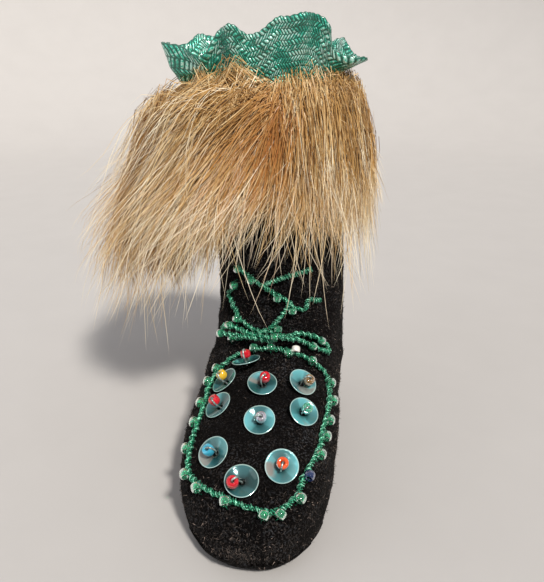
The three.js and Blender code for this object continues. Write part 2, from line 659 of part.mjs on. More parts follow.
const furDepth = (around) => FUR_DEPTH + FUR_SWEEP * sweep(around);
const furHeight = (up, around) => furTop - (1 - up) * FUR_BAND * (1 + FUR_DROP * sweep(around));
function furPoint(i, around) {
  const { up, out, hollow } = FUR_PROFILE[i];
  const off = out * furDepth(around) + hollow * FUR_SWEEP * sweep(around);
  return beside(furHeight(up, around), around, PIECE_GAP + off);
}

// A lock: a bent, pointed strip from its root to its tip
const LOCK_SIDES = 4;
const LOCK_FLATNESS = 0.6;
const LOCK_ELBOW = 0.45; // the share of its length where it bends out most
const LOCK_TAPER = [1, 0.8];
function lockSolid(root, tip, outward, width) {
  const elbow = root.clone().lerp(tip, LOCK_ELBOW).addScaledVector(outward, width * LOCK_FLATNESS);
  const bend = new THREE.QuadraticBezierCurve3(root, elbow, tip);
  const across = new THREE.Vector3().crossVectors(outward, new THREE.Vector3(0, 0, 1)).normalize();
  const points = [root.clone()];
  LOCK_TAPER.forEach((taper, i) => {
    const middle = bend.getPoint(i / LOCK_TAPER.length);
    for (let j = 0; j < LOCK_SIDES; j++) {
      const turn = (2 * Math.PI * j) / LOCK_SIDES;
      const reach = (width / 2) * taper;
      const point = middle.clone().addScaledVector(across, reach * Math.cos(turn));
      points.push(point.addScaledVector(outward, reach * LOCK_FLATNESS * Math.sin(turn)));
    }
  });
  points.push(tip.clone());
  const ringStart = (i) => 1 + i * LOCK_SIDES;
  const triangles = turnedOver(fan(0, 1, LOCK_SIDES));
  for (let i = 0; i < LOCK_TAPER.length - 1; i++) {
    triangles.push(...turnedOver(strip(ringStart(i), ringStart(i + 1), LOCK_SIDES)));
  }
  triangles.push(...fan(points.length - 1, ringStart(LOCK_TAPER.length - 1), LOCK_SIDES));
  return solidOf(indexed(points, triangles));
}

// Rows of locks. from: share of the fur's height where they are rooted; root, tip: shares of the
// fur's depth; long: share of LOCK_LENGTH; offset: share of a lock's spacing.
const LOCK_ROWS = [
  { count: 22, from: 0.12, root: 0.66, tip: 0.84, long: 0.9, offset: 0 },
  { count: 16, from: 0.3, root: 0.88, tip: 1.1, long: 0.9, offset: 0.5 },
  { count: 9, from: 0.62, root: 0.78, tip: 1.12, long: 0.9, offset: 0.2 },
];
const LONG_SWEEP = 0.3; // locks on the -X side are this much longer
const UNEVEN_SPACING = 0.3;
const UNEVEN_LENGTH = 0.4;
const UNEVEN_WIDTH = 0.5;

// A repeatable number between 0 and 1 for one lock of one row, and a factor round 1 from it
const uneven = (i, k) => THREE.MathUtils.seededRandom(1 + i + 100 * k);
const varied = (amount, i, k) => 1 + amount * (uneven(i, k) - 0.5);
const locks = LOCK_ROWS.flatMap((row, k) =>
  Array.from({ length: row.count }, (_, i) => {
    const around = -1 + (2 * (i + row.offset + UNEVEN_SPACING * uneven(i, k))) / row.count;
    const depth = furDepth(around);
    const rootHeight = furHeight(row.from, around);
    const longer = row.long * (1 + LONG_SWEEP * sweep(around));
    const length = LOCK_LENGTH * longer * varied(UNEVEN_LENGTH, i, k + 3);
    const width = LOCK_WIDTH * (1 + sweep(around)) * varied(UNEVEN_WIDTH, i, k + 6);
    const root = beside(rootHeight, around, PIECE_GAP + row.root * depth);
    const tip = beside(rootHeight - length, around, PIECE_GAP + row.tip * depth);
    const outward = beside(rootHeight, around, 1).sub(beside(rootHeight, around, 0));
    return lockSolid(root, tip, outward, width);
  }),
);
const furBand = ringSolid(FUR_PROFILE.length, FUR_SIDES, furPoint);
add("fur_cuff", joined([furBand, ...locks]), furFinish);

// The ruffle: a gathered ribbon sewn inside the collar. Its lobes are placed round the collar,
// and rise and flare add to the ribbon's own, in shares of RIBBON_RISE.
const RUFFLE_LOBES = [
  { around: -0.42, wide: 0.17, rise: 0.95, flare: 1.75 },
  { around: -0.14, wide: 0.055, rise: 1.5, flare: 0.2 },
  { around: 0.01, wide: 0.07, rise: 0.95, flare: -0.2 },
  { around: 0.2, wide: 0.145, rise: 2.1, flare: 0.25 },
  { around: 0.46, wide: 0.09, rise: 0.25, flare: 1.3 },
  { around: 0.68, wide: 0.12, rise: 1.2, flare: 0.6 },
  { around: 0.9, wide: 0.1, rise: 1.4, flare: 0.4 },
  { around: -0.86, wide: 0.08, rise: 1.05, flare: 0.6 },
  { around: -0.66, wide: 0.1, rise: 1.3, flare: 0.6 },
];
const LOBE_ROUND = 3.4; // how full a lobe's outline is
const GATHERS = 15;
const GATHER_DEPTH = 0.7;
const RIBBON_CURL = 1.5; // how late the ribbon bends outward
const RIBBON_UPS = [-1, 0, 0.35, 0.7, 1]; // -1: its sewn edge, 0: the collar, 1: its free edge
const RIBBON_SIDES = 60;
function lobesAt(around, column) {
  return RUFFLE_LOBES.reduce((sum, lobe) => {
    const apart = Math.abs(((around - lobe.around + 3) % 2) - 1); // the shorter way round
    return sum + RIBBON_RISE * lobe[column] * Math.exp(-((apart / lobe.wide) ** LOBE_ROUND));
  }, 0);
}
function ribbonMiddle(up, around) {
  const rise = RIBBON_RISE + lobesAt(around, "rise");
  const height = COLLAR_HEIGHT + up * (up < 0 ? RIBBON_TUCK : rise);
  const free = Math.max(up, 0);
  const sewn = -FELT_THICKNESS - PIECE_GAP - RIBBON_WALL / 2; // beside the felt's inner face
  const flare = (RIBBON_FLARE + lobesAt(around, "flare")) * free ** RIBBON_CURL;
  const gather = GATHER_DEPTH * Math.sin(GATHERS * Math.PI * around) * free;
  return beside(height, around, sewn + flare + gather);
}
function ribbonPoint(i, around) {
  const faces = RIBBON_UPS.length;
  const up = i < faces ? RIBBON_UPS[i] : RIBBON_UPS[2 * faces - 1 - i];
  const side = i < faces ? 1 : -1;
  const upward = ribbonMiddle(up + STEP, around).sub(ribbonMiddle(up - STEP, around));
  const sideways = ribbonMiddle(up, around + STEP).sub(ribbonMiddle(up, around - STEP));
  const outward = sideways.cross(upward).normalize();
  return ribbonMiddle(up, around).addScaledVector(outward, (side * RIBBON_WALL) / 2);
}
add("ruffle", ringSolid(2 * RIBBON_UPS.length, RIBBON_SIDES, ribbonPoint), ribbonFinish);

export default boot;
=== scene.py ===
"""Looks for the miniature mukluk boot: felt, fur, ribbon, cords, glass beads and sequins.

Sizes below are in millimetres and are turned into metres when a mesh is made. The shape of the
boot's skin follows the same sections as the part's solids.
"""

import math

import bpy
import numpy as np
from mathutils import Euler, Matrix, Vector


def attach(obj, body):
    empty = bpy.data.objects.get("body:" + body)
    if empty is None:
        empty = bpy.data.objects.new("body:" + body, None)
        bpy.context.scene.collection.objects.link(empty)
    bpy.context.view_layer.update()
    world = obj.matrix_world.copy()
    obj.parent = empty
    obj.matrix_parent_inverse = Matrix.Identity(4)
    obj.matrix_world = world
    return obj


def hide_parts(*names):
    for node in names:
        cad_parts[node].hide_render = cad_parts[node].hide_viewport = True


bl_info = {
    "name": "Mukluk boot",
    "version": (1, 0, 0),
    "blender": (4, 5, 0),
    "location": "View3D > Sidebar > Mukluk",
    "description": "Makes the felt, fur, ribbon and trim of a miniature mukluk boot",
    "category": "Add Mesh",
}

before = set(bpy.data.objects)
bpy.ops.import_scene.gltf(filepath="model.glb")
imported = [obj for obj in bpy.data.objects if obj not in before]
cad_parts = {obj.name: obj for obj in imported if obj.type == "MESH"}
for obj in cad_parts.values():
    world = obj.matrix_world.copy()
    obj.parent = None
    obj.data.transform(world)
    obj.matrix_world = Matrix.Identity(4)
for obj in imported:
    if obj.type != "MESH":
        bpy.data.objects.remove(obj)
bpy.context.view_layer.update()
MM = 0.001

# Sizes of the boot
TOE_REACH = 57.6
HEEL_REACH = 14.2
BALL_WIDTH = 31.3
INSTEP_HEIGHT = 25.2
TOE_SIDE_OFFSET = 2.1
SHAFT_DEPTH = 27.1
SHAFT_WIDTH = 28.8
COLLAR_HEIGHT = 77
SHAFT_LEAN = 3.4
FELT_THICKNESS = 1.8
SOLE_THICKNESS = 2.4
SOLE_EDGE = 0.3
ARCH_RISE = 0.4
TOE_SPRING_HEIGHT = 1.2
PIECE_GAP = 0.3
CORD_DIAMETER = 0.9
BOW_LIFT = 1.15
BEAD_DIAMETER = 2.2
BEAD_HEIGHT = 1.6
SEQUIN_DIAMETER = 6
SEQUIN_CUP = 0.9
SEQUIN_WALL = 0.3
RIBBON_WALL = 0.6
RIBBON_TUCK = 7
RIBBON_RISE = 4.2
RIBBON_FLARE = 2
FUR_TOP = 1.2
FUR_BAND = 25
FUR_DROP = 0.76
FUR_DEPTH = 5.2
FUR_SWEEP = 14.5
HEEL_TREAD_END = 0.16
BALL_TREAD_START = 0.42
BALL_TREAD_END = 0.78

# Sections of the foot: front, height in front, under, height under, half width, aside, powers
FOOT_SECTIONS = np.array(
    [
        (1.0, 0.23, 1.0, 0.23, 0, 1, 2.3, 2.3),
        (0.989, 0.317, 0.991, 0.135, 0.24, 1, 2.3, 2.3),
        (0.961, 0.393, 0.97, 0.06, 0.39, 1, 2.3, 2.4),
        (0.914, 0.464, 0.934, 0, 0.54, 0.9, 2.4, 2.6),
        (0.85, 0.529, 0.885, -0.03, 0.69, 0.76, 2.5, 2.7),
        (0.737, 0.591, 0.799, -0.04, 0.85, 0.52, 2.5, 2.8),
        (0.6, 0.651, 0.694, -0.04, 0.933, 0.29, 2.5, 2.8),
        (0.453, 0.718, 0.538, -0.04, 0.984, 0.05, 2.5, 2.8),
        (0.305, 0.794, 0.356, -0.04, 1, -0.19, 2.5, 2.8),
        (0.18, 0.881, 0.156, -0.04, 1, -0.38, 2.5, 2.8),
        (0.092, 1, -0.035, -0.04, 0.987, -0.48, 2.5, 2.7),
    ]
)
# Sections of the shaft: front, its height, back, its height, half width, lean, powers
SHAFT_SECTIONS = np.array(
    [
        (1.137, 0.073, 0.669, 0.005, 1.056, 0.29, 2.4, 2.5),
        (1.055, 0.154, 0.944, 0.065, 1.038, 0.27, 2.3, 2.3),
        (1.018, 0.243, 1, 0.156, 1.024, 0.235, 2.2, 2.2),
        (1.004, 0.344, 0.965, 0.273, 1.01, 0.22, 2.2, 2.2),
        (1.004, 0.459, 0.937, 0.429, 1, 0.294, 2.2, 2.2),
        (1.004, 0.614, 0.937, 0.61, 1, 0.47, 2.2, 2.2),
        (1.011, 0.788, 0.944, 0.792, 1.003, 0.71, 2.2, 2.2),
        (1.033, 1, 0.958, 1, 1.014, 1, 2.2, 2.2),
    ]
)


def all_sections():
    """The sections in millimetres: front point, back point, half width, aside and powers."""
    foot, shaft, half_depth = FOOT_SECTIONS.T, SHAFT_SECTIONS.T, SHAFT_DEPTH / 2
    foot_columns = [
        -(half_depth + foot[0] * (TOE_REACH - half_depth)),
        foot[1] * INSTEP_HEIGHT,
        -foot[2] * TOE_REACH,
        foot[3] * INSTEP_HEIGHT,
        foot[4] * BALL_WIDTH / 2,
        foot[5] * TOE_SIDE_OFFSET,
        *foot[6:],
    ]
    shaft_columns = [
        -shaft[0] * half_depth,
        INSTEP_HEIGHT + shaft[1] * (COLLAR_HEIGHT - INSTEP_HEIGHT),
        shaft[2] * HEEL_REACH,
        shaft[3] * COLLAR_HEIGHT,
        shaft[4] * SHAFT_WIDTH / 2,
        -shaft[5] * SHAFT_LEAN,
        *shaft[6:],
    ]
    return np.concatenate([np.stack(foot_columns, 1), np.stack(shaft_columns, 1)])


SECTIONS = all_sections()
COLLAR = len(SECTIONS) - 1
ANKLE = len(FOOT_SECTIONS)
STEP = 0.004  # how far apart spots are taken to find which way the skin runs
TIP = 0.06  # the rows up to here face straight ahead
NEVER_ZERO = 1e-9


def section_at(row):
    """Sections between the listed ones, on Catmull-Rom curves."""
    row = np.clip(row, 0, COLLAR)
    i = np.minimum(np.floor(row).astype(int), COLLAR - 1)
    f = (row - i)[..., None]
    a, b = SECTIONS[np.maximum(i - 1, 0)], SECTIONS[i]
    c, d = SECTIONS[i + 1], SECTIONS[np.minimum(i + 2, COLLAR)]
    return b + 0.5 * f * (c - a + f * (2 * a - 5 * b + 4 * c - d + f * (d - a + 3 * (b - c))))


def skin(row, around):
    """Points of the boot's skin; around is 0 in front, 1 behind, and positive on the +X side."""
    row, around = np.broadcast_arrays(np.asarray(row, float), np.asarray(around, float))
    s = section_at(row)
    turn = around * np.pi
    power = 2 / np.where(np.cos(turn) >= 0, s[..., 6], s[..., 7])
    along = np.sign(np.cos(turn)) * np.abs(np.cos(turn)) ** power
    across = np.sign(np.sin(turn)) * np.abs(np.sin(turn)) ** power
    return np.stack(
        [
            s[..., 5] + s[..., 4] * across,
            (s[..., 0] + s[..., 2]) / 2 + (s[..., 0] - s[..., 2]) / 2 * along,
            (s[..., 1] + s[..., 3]) / 2 + (s[..., 1] - s[..., 3]) / 2 * along,
        ],
        -1,
    )


def unit(v):
    return v / np.maximum(np.linalg.norm(v, axis=-1, keepdims=True), NEVER_ZERO)


def facing(row, around):
    row, around = np.broadcast_arrays(np.asarray(row, float), np.asarray(around, float))
    up = skin(np.minimum(row + STEP, COLLAR), around) - skin(row - STEP, around)
    side = skin(row, around + STEP) - skin(row, around - STEP)
    out = unit(np.cross(side, up))
    return np.where((row < TIP)[..., None], np.array([0.0, -1.0, 0.0]), out)


def lifted(row, around, lift):
    return skin(row, around) + facing(row, around) * np.asarray(lift, float)[..., None]


def length_along(path):
    """How far along its line each point lies."""
    return np.concatenate([[0], np.cumsum(np.linalg.norm(np.diff(path, axis=0), axis=1))])


# A tape laid down the front of the skin: spots are given as shares of its length
TAPE_ROWS = np.linspace(0, COLLAR, 601)
TAPE = length_along(skin(TAPE_ROWS, 0))


def row_at(along):
    return np.interp(np.asarray(along, float) * TAPE[-1], TAPE, TAPE_ROWS)


def on_boot(along, around, lift):
    return lifted(row_at(along), around, lift)


HALVINGS = 18


def beside(height, around, out):
    """Points beside the shaft at a height, pushed out level from its skin."""
    height, around = np.broadcast_arrays(np.asarray(height, float), np.asarray(around, float))
    low, high = np.full(height.shape, float(ANKLE)), np.full(height.shape, float(COLLAR))
    for _ in range(HALVINGS):
        middle = (low + high) / 2
        below = skin(middle, around)[..., 2] < height
        low, high = np.where(below, middle, low), np.where(below, high, middle)
    level = facing(high, around)
    level[..., 2] = 0
    point = skin(high, around) + unit(level) * np.asarray(out, float)[..., None]
    point[..., 2] = height
    return point


def cross_ways(way, aside):
    """Two directions at right angles to a way, from a direction well off it."""
    side = unit(np.cross(way, aside))
    return side, np.cross(way, side)


def ring_angles(sides):
    return np.arange(sides) * 2 * np.pi / sides


def spokes(angle, side, up):
    """Directions round an axis, at angles from one of its cross ways."""
    return np.cos(angle)[:, None] * side + np.sin(angle)[:, None] * up


def apart(around, other):
    """How far apart spots are, the shorter way round the boot."""
    return np.abs((around - other + 3) % 2 - 1)


def smooth_step(value, low, high):
    t = np.clip((value - low) / (high - low), 0, 1)
    return t * t * (3 - 2 * t)


def ripples(points, size, seed, waves=14):
    """Soft unevenness between about -1 and 1, from waves in many directions."""
    pick = np.random.default_rng(seed)
    ways = unit(pick.normal(size=(waves, 3))) * pick.uniform(0.7, 1.6, (waves, 1))
    starts = pick.uniform(0, 2 * np.pi, waves)
    return np.sin(points @ ways.T * (2 * np.pi / size) + starts).sum(-1) / math.sqrt(waves)


def smooth_curve(points, samples, closed=False):
    """Samples of a centripetal Catmull-Rom curve through the points."""
    points = np.asarray(points, float)
    if closed:
        padded = np.concatenate([points[-1:], points, points[:2]])
    else:
        padded = np.concatenate(
            [2 * points[:1] - points[1:2], points, 2 * points[-1:] - points[-2:-1]]
        )
    spans = len(padded) - 3
    place = np.asarray(samples, float) * spans
    i = np.clip(np.floor(place).astype(int), 0, spans - 1)
    f = (place - i)[:, None]
    p0, p1, p2, p3 = (padded[i + k] for k in range(4))
    d0, d1, d2 = (
        np.maximum(np.sqrt(np.linalg.norm(b - a, axis=1, keepdims=True)), 1e-6)
        for a, b in ((p0, p1), (p1, p2), (p2, p3))
    )
    t1 = ((p1 - p0) / d0 - (p2 - p0) / (d0 + d1) + (p2 - p1) / d1) * d1
    t2 = ((p2 - p1) / d1 - (p3 - p1) / (d1 + d2) + (p3 - p2) / d2) * d1
    return p1 + f * (t1 + f * (3 * (p2 - p1) - 2 * t1 - t2 + f * (2 * (p1 - p2) + t1 + t2)))


def evenly(path, count):
    """The same line with its points evenly spaced."""
    length = length_along(path)
    at = np.linspace(0, length[-1], count)
    return np.stack([np.interp(at, length, path[:, k]) for k in range(3)], 1)


# Meshes and materials


def make_piece(name, points, faces, material, replaced=(), values=None, uvs=None):
    """An object from points in millimetres that rides on the boot's one body."""
    mesh = bpy.data.meshes.new(name)
    sizes = [len(f) for f in faces] if isinstance(faces, list) else None
    corners = np.concatenate([np.asarray(f).ravel() for f in faces]) if sizes else faces.ravel()
    totals = np.array(sizes) if sizes else np.full(len(faces), faces.shape[1])
    mesh.vertices.add(len(points))
    mesh.vertices.foreach_set("co", (np.asarray(points) * MM).astype(np.float32).ravel())
    mesh.loops.add(len(corners))
    mesh.loops.foreach_set("vertex_index", corners.astype(np.int32))
    mesh.polygons.add(len(totals))
    mesh.polygons.foreach_set(
        "loop_start", np.concatenate([[0], np.cumsum(totals)[:-1]]).astype(np.int32)
    )
    mesh.update(calc_edges=True)
    mesh.polygons.foreach_set("use_smooth", np.ones(len(totals), bool))
    for key, value in (values or {}).items():
        layer = mesh.attributes.new(key, "FLOAT", "POINT")
        layer.data.foreach_set("value", np.asarray(value, np.float32).ravel())
    if uvs is not None:
        layer = mesh.uv_layers.new(name="woven")
        layer.data.foreach_set("uv", np.asarray(uvs, np.float32)[corners].ravel())
    mesh.validate()
    mesh.materials.append(material)
    piece = bpy.data.objects.new(name, mesh)
    bpy.context.scene.collection.objects.link(piece)
    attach(piece, "root")
    if replaced:
        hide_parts(*replaced)
    return piece


def thicken(piece, wall, way):
    """Give a felt skin its wall, inward or outward."""
    felt = piece.modifiers.new("thickness", "SOLIDIFY")
    felt.thickness = wall * MM
    felt.offset = way


def grid_faces(rows, columns):
    """Quads between rings of points that follow each other along the skin."""
    i = np.arange(rows - 1)[:, None] * columns
    j = np.arange(columns)[None, :]
    k = (j + 1) % columns
    return np.stack([i + j, i + k, i + k + columns, i + j + columns], -1).reshape(-1, 4)


# Directions that no cord, bead or sequin here points in
OFF_PATHS = (0.13, 0.31, 0.94)
OFF_BEADS = (0.21, 0.33, 0.9)
OFF_SEQUINS = (0.23, 0.37, 0.9)


def tube(path, radius, sides, lobes=0, lobe_depth=0.0, twist=0.0):
    """Points and faces of a tube along a path; lobes that turn by twist a millimetre are plies."""
    path = np.asarray(path, float)
    count = len(path)
    ahead = unit(np.gradient(path, axis=0))
    side, _ = cross_ways(ahead[0], OFF_PATHS)
    length = length_along(path)
    angle = ring_angles(sides)
    rings = []
    for i in range(count):
        side = unit(side - ahead[i] * (side @ ahead[i]))
        up = np.cross(ahead[i], side)
        turn = angle + twist * length[i]
        reach = radius[i] if np.ndim(radius) else radius
        reach = reach * (1 - lobe_depth + lobe_depth * np.cos(lobes * angle))
        rings.append(path[i] + spokes(turn, side, up) * np.broadcast_to(reach, sides)[:, None])
    points = np.concatenate([*rings, path[:1], path[-1:]])
    faces = list(grid_faces(count, sides))
    last = (count - 1) * sides
    for j in range(sides):
        k = (j + 1) % sides
        faces.append(np.array([count * sides, k, j]))
        faces.append(np.array([count * sides + 1, last + j, last + k]))
    return points, faces


HAIR_MIDDLE = np.array([-2.0, 0, 0])
HAIR_OUTWARD = np.array([1, 1, 0.2])
HAIR_LEAN = 0.7


def strand_strips(paths, widths, pick):
    """Flat tapered hairs that end in a point, turned more or less outward."""
    number, count = paths.shape[:2]
    ahead = unit(np.gradient(paths, axis=1))
    outward = unit((paths - HAIR_MIDDLE) * HAIR_OUTWARD)
    across = unit(np.cross(ahead, outward))
    lean = pick.normal(0, HAIR_LEAN, (number, 1, 1))
    across = across * np.cos(lean) + outward * np.sin(lean)
    reach = across * widths[:, :, None] / 2
    body = np.stack([paths - reach, paths + reach], 2)[:, :-1]
    points = np.concatenate([body.reshape(number, -1, 3), paths[:, -1:]], 1)
    each = points.shape[1]
    i = np.arange(count - 2)[:, None] * 2
    one = np.concatenate([i + [0, 1, 3], i + [0, 3, 2], [[each - 3, each - 2, each - 1]]])
    faces = (one[None] + (np.arange(number) * each)[:, None, None]).reshape(-1, 3)
    share = np.repeat(np.linspace(0, 1, count), [2] * (count - 1) + [1])
    return points.reshape(-1, 3), faces, np.tile(share, number), each


def joined_parts(parts):
    """Several (points, faces) as one."""
    points, faces, start = [], [], 0
    for part_points, part_faces in parts:
        points.append(part_points)
        faces += [f + start for f in part_faces]
        start += len(part_points)
    return np.concatenate(points), faces


class Finish:
    """One material, with short calls for the nodes that paint it."""

    def __init__(self, name, **sockets):
        self.material = bpy.data.materials.new(name)
        self.material.use_nodes = True
        self.tree = self.material.node_tree
        self.shader = self.tree.nodes["Principled BSDF"]
        for socket, value in sockets.items():
            self.shader.inputs[socket.replace("_", " ")].default_value = value

    def node(self, kind, inputs=None, **settings):
        made = self.tree.nodes.new("ShaderNode" + kind)
        for key, value in settings.items():
            setattr(made, key, value)
        for key, value in (inputs or {}).items():
            if isinstance(value, bpy.types.NodeSocket):
                self.tree.links.new(value, made.inputs[key])
            else:
                made.inputs[key].default_value = value
        return made

    def place(self, stretch):
        """Object coordinates in millimetres, stretched."""
        where = self.node("TexCoord").outputs["Object"]
        sized = [1000 * s for s in stretch]
        return self.node("Mapping", {"Vector": where, "Scale": sized}).outputs["Vector"]

    def noise(self, scale, detail, stretch=(1, 1, 1), roughness=0.55):
        inputs = {"Vector": self.place(stretch), "Scale": scale, "Detail": detail}
        return self.node("TexNoise", {**inputs, "Roughness": roughness}).outputs["Fac"]

    def ramp(self, value, stops):
        made = self.node("ValToRGB", {"Fac": value})
        elements = made.color_ramp.elements
        while len(elements) < len(stops):
            elements.new(0.5)
        for element, (position, colour) in zip(elements, stops):
            element.position = position
            element.color = (*colour[:3], 1)
        return made.outputs["Color"]

    def mix(self, factor, a, b, blend="MIX"):
        made = self.node("Mix", data_type="RGBA", blend_type=blend)
        for index, value in ((0, factor), (6, a), (7, b)):
            if isinstance(value, bpy.types.NodeSocket):
                self.tree.links.new(value, made.inputs[index])
            elif index == 0:
                made.inputs[index].default_value = value
            else:
                made.inputs[index].default_value = (*value[:3], 1)
        return made.outputs[2]

    def maths(self, operation, *values):
        made = self.node("Math", dict(enumerate(values)), operation=operation)
        return made.outputs["Value"]

    def attribute(self, name):
        return self.node("Attribute", attribute_name=name).outputs["Fac"]

    def mask(self, value, low, high, top=1.0):
        """Black up to the low value, and as bright as top from the high value on."""
        return self.ramp(value, [(low, grey(0)), (high, grey(top))])

    def bump(self, height, distance):
        made = self.node("Bump", {"Height": height, "Distance": distance * MM, "Strength": 1.0})
        self.into(made.outputs["Normal"], "Normal")

    def into(self, value, socket):
        self.tree.links.new(value, self.shader.inputs[socket])


def colour_of(rgb, factor):
    """A colour made darker or lighter."""
    return tuple(min(c * factor, 1) for c in rgb[:3])


def grey(level):
    return (level, level, level)


# Felt


class FeltLook(bpy.types.PropertyGroup):
    colour: bpy.props.FloatVectorProperty(
        name="Felt", description="Colour of the felt", subtype="COLOR", default=(0.0016, 0.0013, 0.0014)
    )
    nap_colour: bpy.props.FloatVectorProperty(
        name="Nap",
        description="Colour of the loose fibres on the felt",
        subtype="COLOR",
        default=(0.13, 0.1, 0.085),
    )
    cool_colour: bpy.props.FloatVectorProperty(
        name="Cool specks",
        description="Colour of the felt's cooler specks",
        subtype="COLOR",
        default=(0.11, 0.115, 0.13),
    )
    nap_fibres: bpy.props.IntProperty(
        name="Loose fibres", description="How many loose fibres stand on the felt", default=31000
    )
    nap_length: bpy.props.FloatProperty(
        name="Fibre length", description="Longest loose fibre", default=0.8 * MM, unit="LENGTH"
    )
    unevenness: bpy.props.FloatProperty(
        name="Unevenness", description="Depth of the felt's soft lumps", default=0.13 * MM, unit="LENGTH"
    )


def felt_finish(look):
    made = bpy.data.materials.get("black_felt")
    if made:
        return made
    felt = Finish(
        "black_felt",
        Roughness=0.95,
        Sheen_Weight=0.02,
        Sheen_Roughness=0.45,
        Sheen_Tint=(0.6, 0.52, 0.48, 1),
        Specular_IOR_Level=0.06,
    )
    specks = felt.mask(felt.noise(2.6, 4, roughness=0.75), 0.52, 0.6)
    cloudy = felt.ramp(felt.noise(0.14, 3), [(0.4, grey(0.22)), (0.62, grey(1))])
    speckled = felt.mix(1, specks, cloudy, "MULTIPLY")
    tint = felt.ramp(felt.noise(1.3, 2), [(0.4, look.nap_colour), (0.62, look.cool_colour)])
    felt.into(felt.mix(speckled, look.colour, felt.mix(0.45, look.colour, tint)), "Base Color")
    felt.bump(felt.noise(1.9, 5, roughness=0.8), 0.45)
    return felt.material


def nap_finish(look):
    nap = Finish("felt_nap", Roughness=0.75)
    dark, pale = colour_of(look.colour, 3), look.nap_colour
    stops = [(0.1, dark), (0.66, colour_of(pale, 0.6)), (0.88, pale), (1.0, colour_of(pale, 2.8))]
    nap.into(nap.ramp(nap.attribute("tone"), stops), "Base Color")
    return nap.material


# Soft creases by tape: each is a line of (along, around) spots, a depth and a width
CREASES = (
    ([(0.5, 0.5), (0.49, 0.36), (0.478, 0.26)], -0.5, 1.9),
    ([(0.53, 0.52), (0.52, 0.4), (0.515, 0.31)], 0.35, 2.2),
    ([(0.51, -0.5), (0.495, -0.36), (0.49, -0.25)], -0.5, 1.8),
    ([(0.55, -0.55), (0.535, -0.42), (0.53, -0.33)], -0.35, 1.7),
    ([(0.46, 0.62), (0.44, 0.5), (0.415, 0.4)], -0.4, 2.1),
    ([(0.46, -0.6), (0.435, -0.48), (0.4, -0.38)], -0.45, 2.0),
    ([(0.4, -0.58), (0.33, -0.46), (0.26, -0.4)], 0.3, 2.4),
    ([(0.35, 0.6), (0.27, 0.5), (0.2, 0.44)], -0.3, 2.2),
    ([(0.58, 0.42), (0.575, 0.3), (0.58, 0.2)], -0.3, 1.6),
    ([(0.6, -0.44), (0.592, -0.32), (0.6, -0.22)], -0.3, 1.6),
    ([(0.055, -0.5), (0.035, -0.1), (0.06, 0.35)], 0.28, 1.5),
)
# The sewn ridge on the toe's +X side
TOE_SEAM = ([(0.17, 0.36), (0.125, 0.335), (0.075, 0.3), (0.035, 0.22)], 0.3, 0.9)
VAMP_EDGE = (
    (0.448, -0.03),
    (0.451, 0.06),
    (0.441, 0.16),
    (0.414, 0.275),
    (0.365, 0.3),
    (0.29, 0.275),
    (0.22, 0.262),
    (0.16, 0.222),
    (0.112, 0.222),
    (0.084, 0.165),
    (0.076, 0.06),
    (0.088, -0.07),
    (0.108, -0.19),
    (0.15, -0.29),
    (0.214, -0.28),
    (0.29, -0.236),
    (0.362, -0.218),
    (0.415, -0.15),
)
VAMP_MIDDLE = np.array([0.27, 0.02])


def line_distance(points, line):
    """How far each point lies from a line of points."""
    best = np.full(len(points), 1e9)
    for a, b in zip(line[:-1], line[1:]):
        way = b - a
        t = np.clip((points - a) @ way / (way @ way), 0, 1)
        best = np.minimum(best, np.linalg.norm(points - a - t[:, None] * way, axis=1))
    return best


# Lumps of the felt: share, size and seed
FELT_LUMPS = ((0.6, 13, 3), (0.4, 4.2, 4), (0.4, 1.7, 6))


def felt_lift(points, look):
    """How far the creases, the toe's seam and the felt's lumps move its skin."""
    lumps = sum(share * ripples(points, size, seed) for share, size, seed in FELT_LUMPS)
    lift = look.unevenness / MM * lumps
    for spots, depth, width in (*CREASES, TOE_SEAM):
        line = smooth_curve(spots, np.linspace(0, 1, CREASE_SAMPLES))
        line = on_boot(line[:, 0], line[:, 1], np.zeros(len(line)))
        lift = lift + depth * np.exp(-((line_distance(points, line) / width) ** 2))
    return lift


def tread_height(y):
    share = -y / TOE_REACH
    arch = np.clip((share - HEEL_TREAD_END) / (BALL_TREAD_START - HEEL_TREAD_END), 0, 1)
    toe = np.maximum(share - BALL_TREAD_END, 0) / (1 - BALL_TREAD_END)
    return ARCH_RISE * np.sin(arch * np.pi) ** 2 + TOE_SPRING_HEIGHT * toe**2


def even_rows(count):
    """Rows at even distances along the skin."""
    fine = np.linspace(0, COLLAR, 721)
    lines = [np.linalg.norm(np.diff(skin(fine, a), axis=0), axis=1) for a in (0, 0.25, 0.5, 0.75, 1)]
    length = np.concatenate([[0], np.cumsum(np.max(lines, 0))])
    return np.interp(np.linspace(0.15, length[-1], count), length, fine)


def vamp_edge(samples):
    return smooth_curve(VAMP_EDGE, samples, closed=True)


def inside_vamp(along, around):
    """Whether spots lie inside the vamp's edge."""
    edge = vamp_edge(np.linspace(0, 1, 121))
    inside = np.zeros(along.shape, bool)
    for (a0, r0), (a1, r1) in zip(edge[:-1], edge[1:]):
        crosses = (r0 > around) != (r1 > around)
        at = a0 + (around - r0) / (r1 - r0 if r1 != r0 else NEVER_ZERO) * (a1 - a0)
        inside ^= crosses & (along < at)
    return inside


OUTER_RINGS, OUTER_SIDES, INNER_RINGS = 180, 160, 30
SOLE_RINGS, SOLE_SIDES = 130, 130
VAMP_RINGS, VAMP_SIDES = 36, 130
VAMP_SHARES = (0.004, 1.012)  # from the vamp's middle to just past its edge
VAMP_SUNK = 0.1
VAMP_PUFF = 0.35
SOLE_WALL = 1.9
VAMP_WALL = 1.5
CREASE_SAMPLES = 12


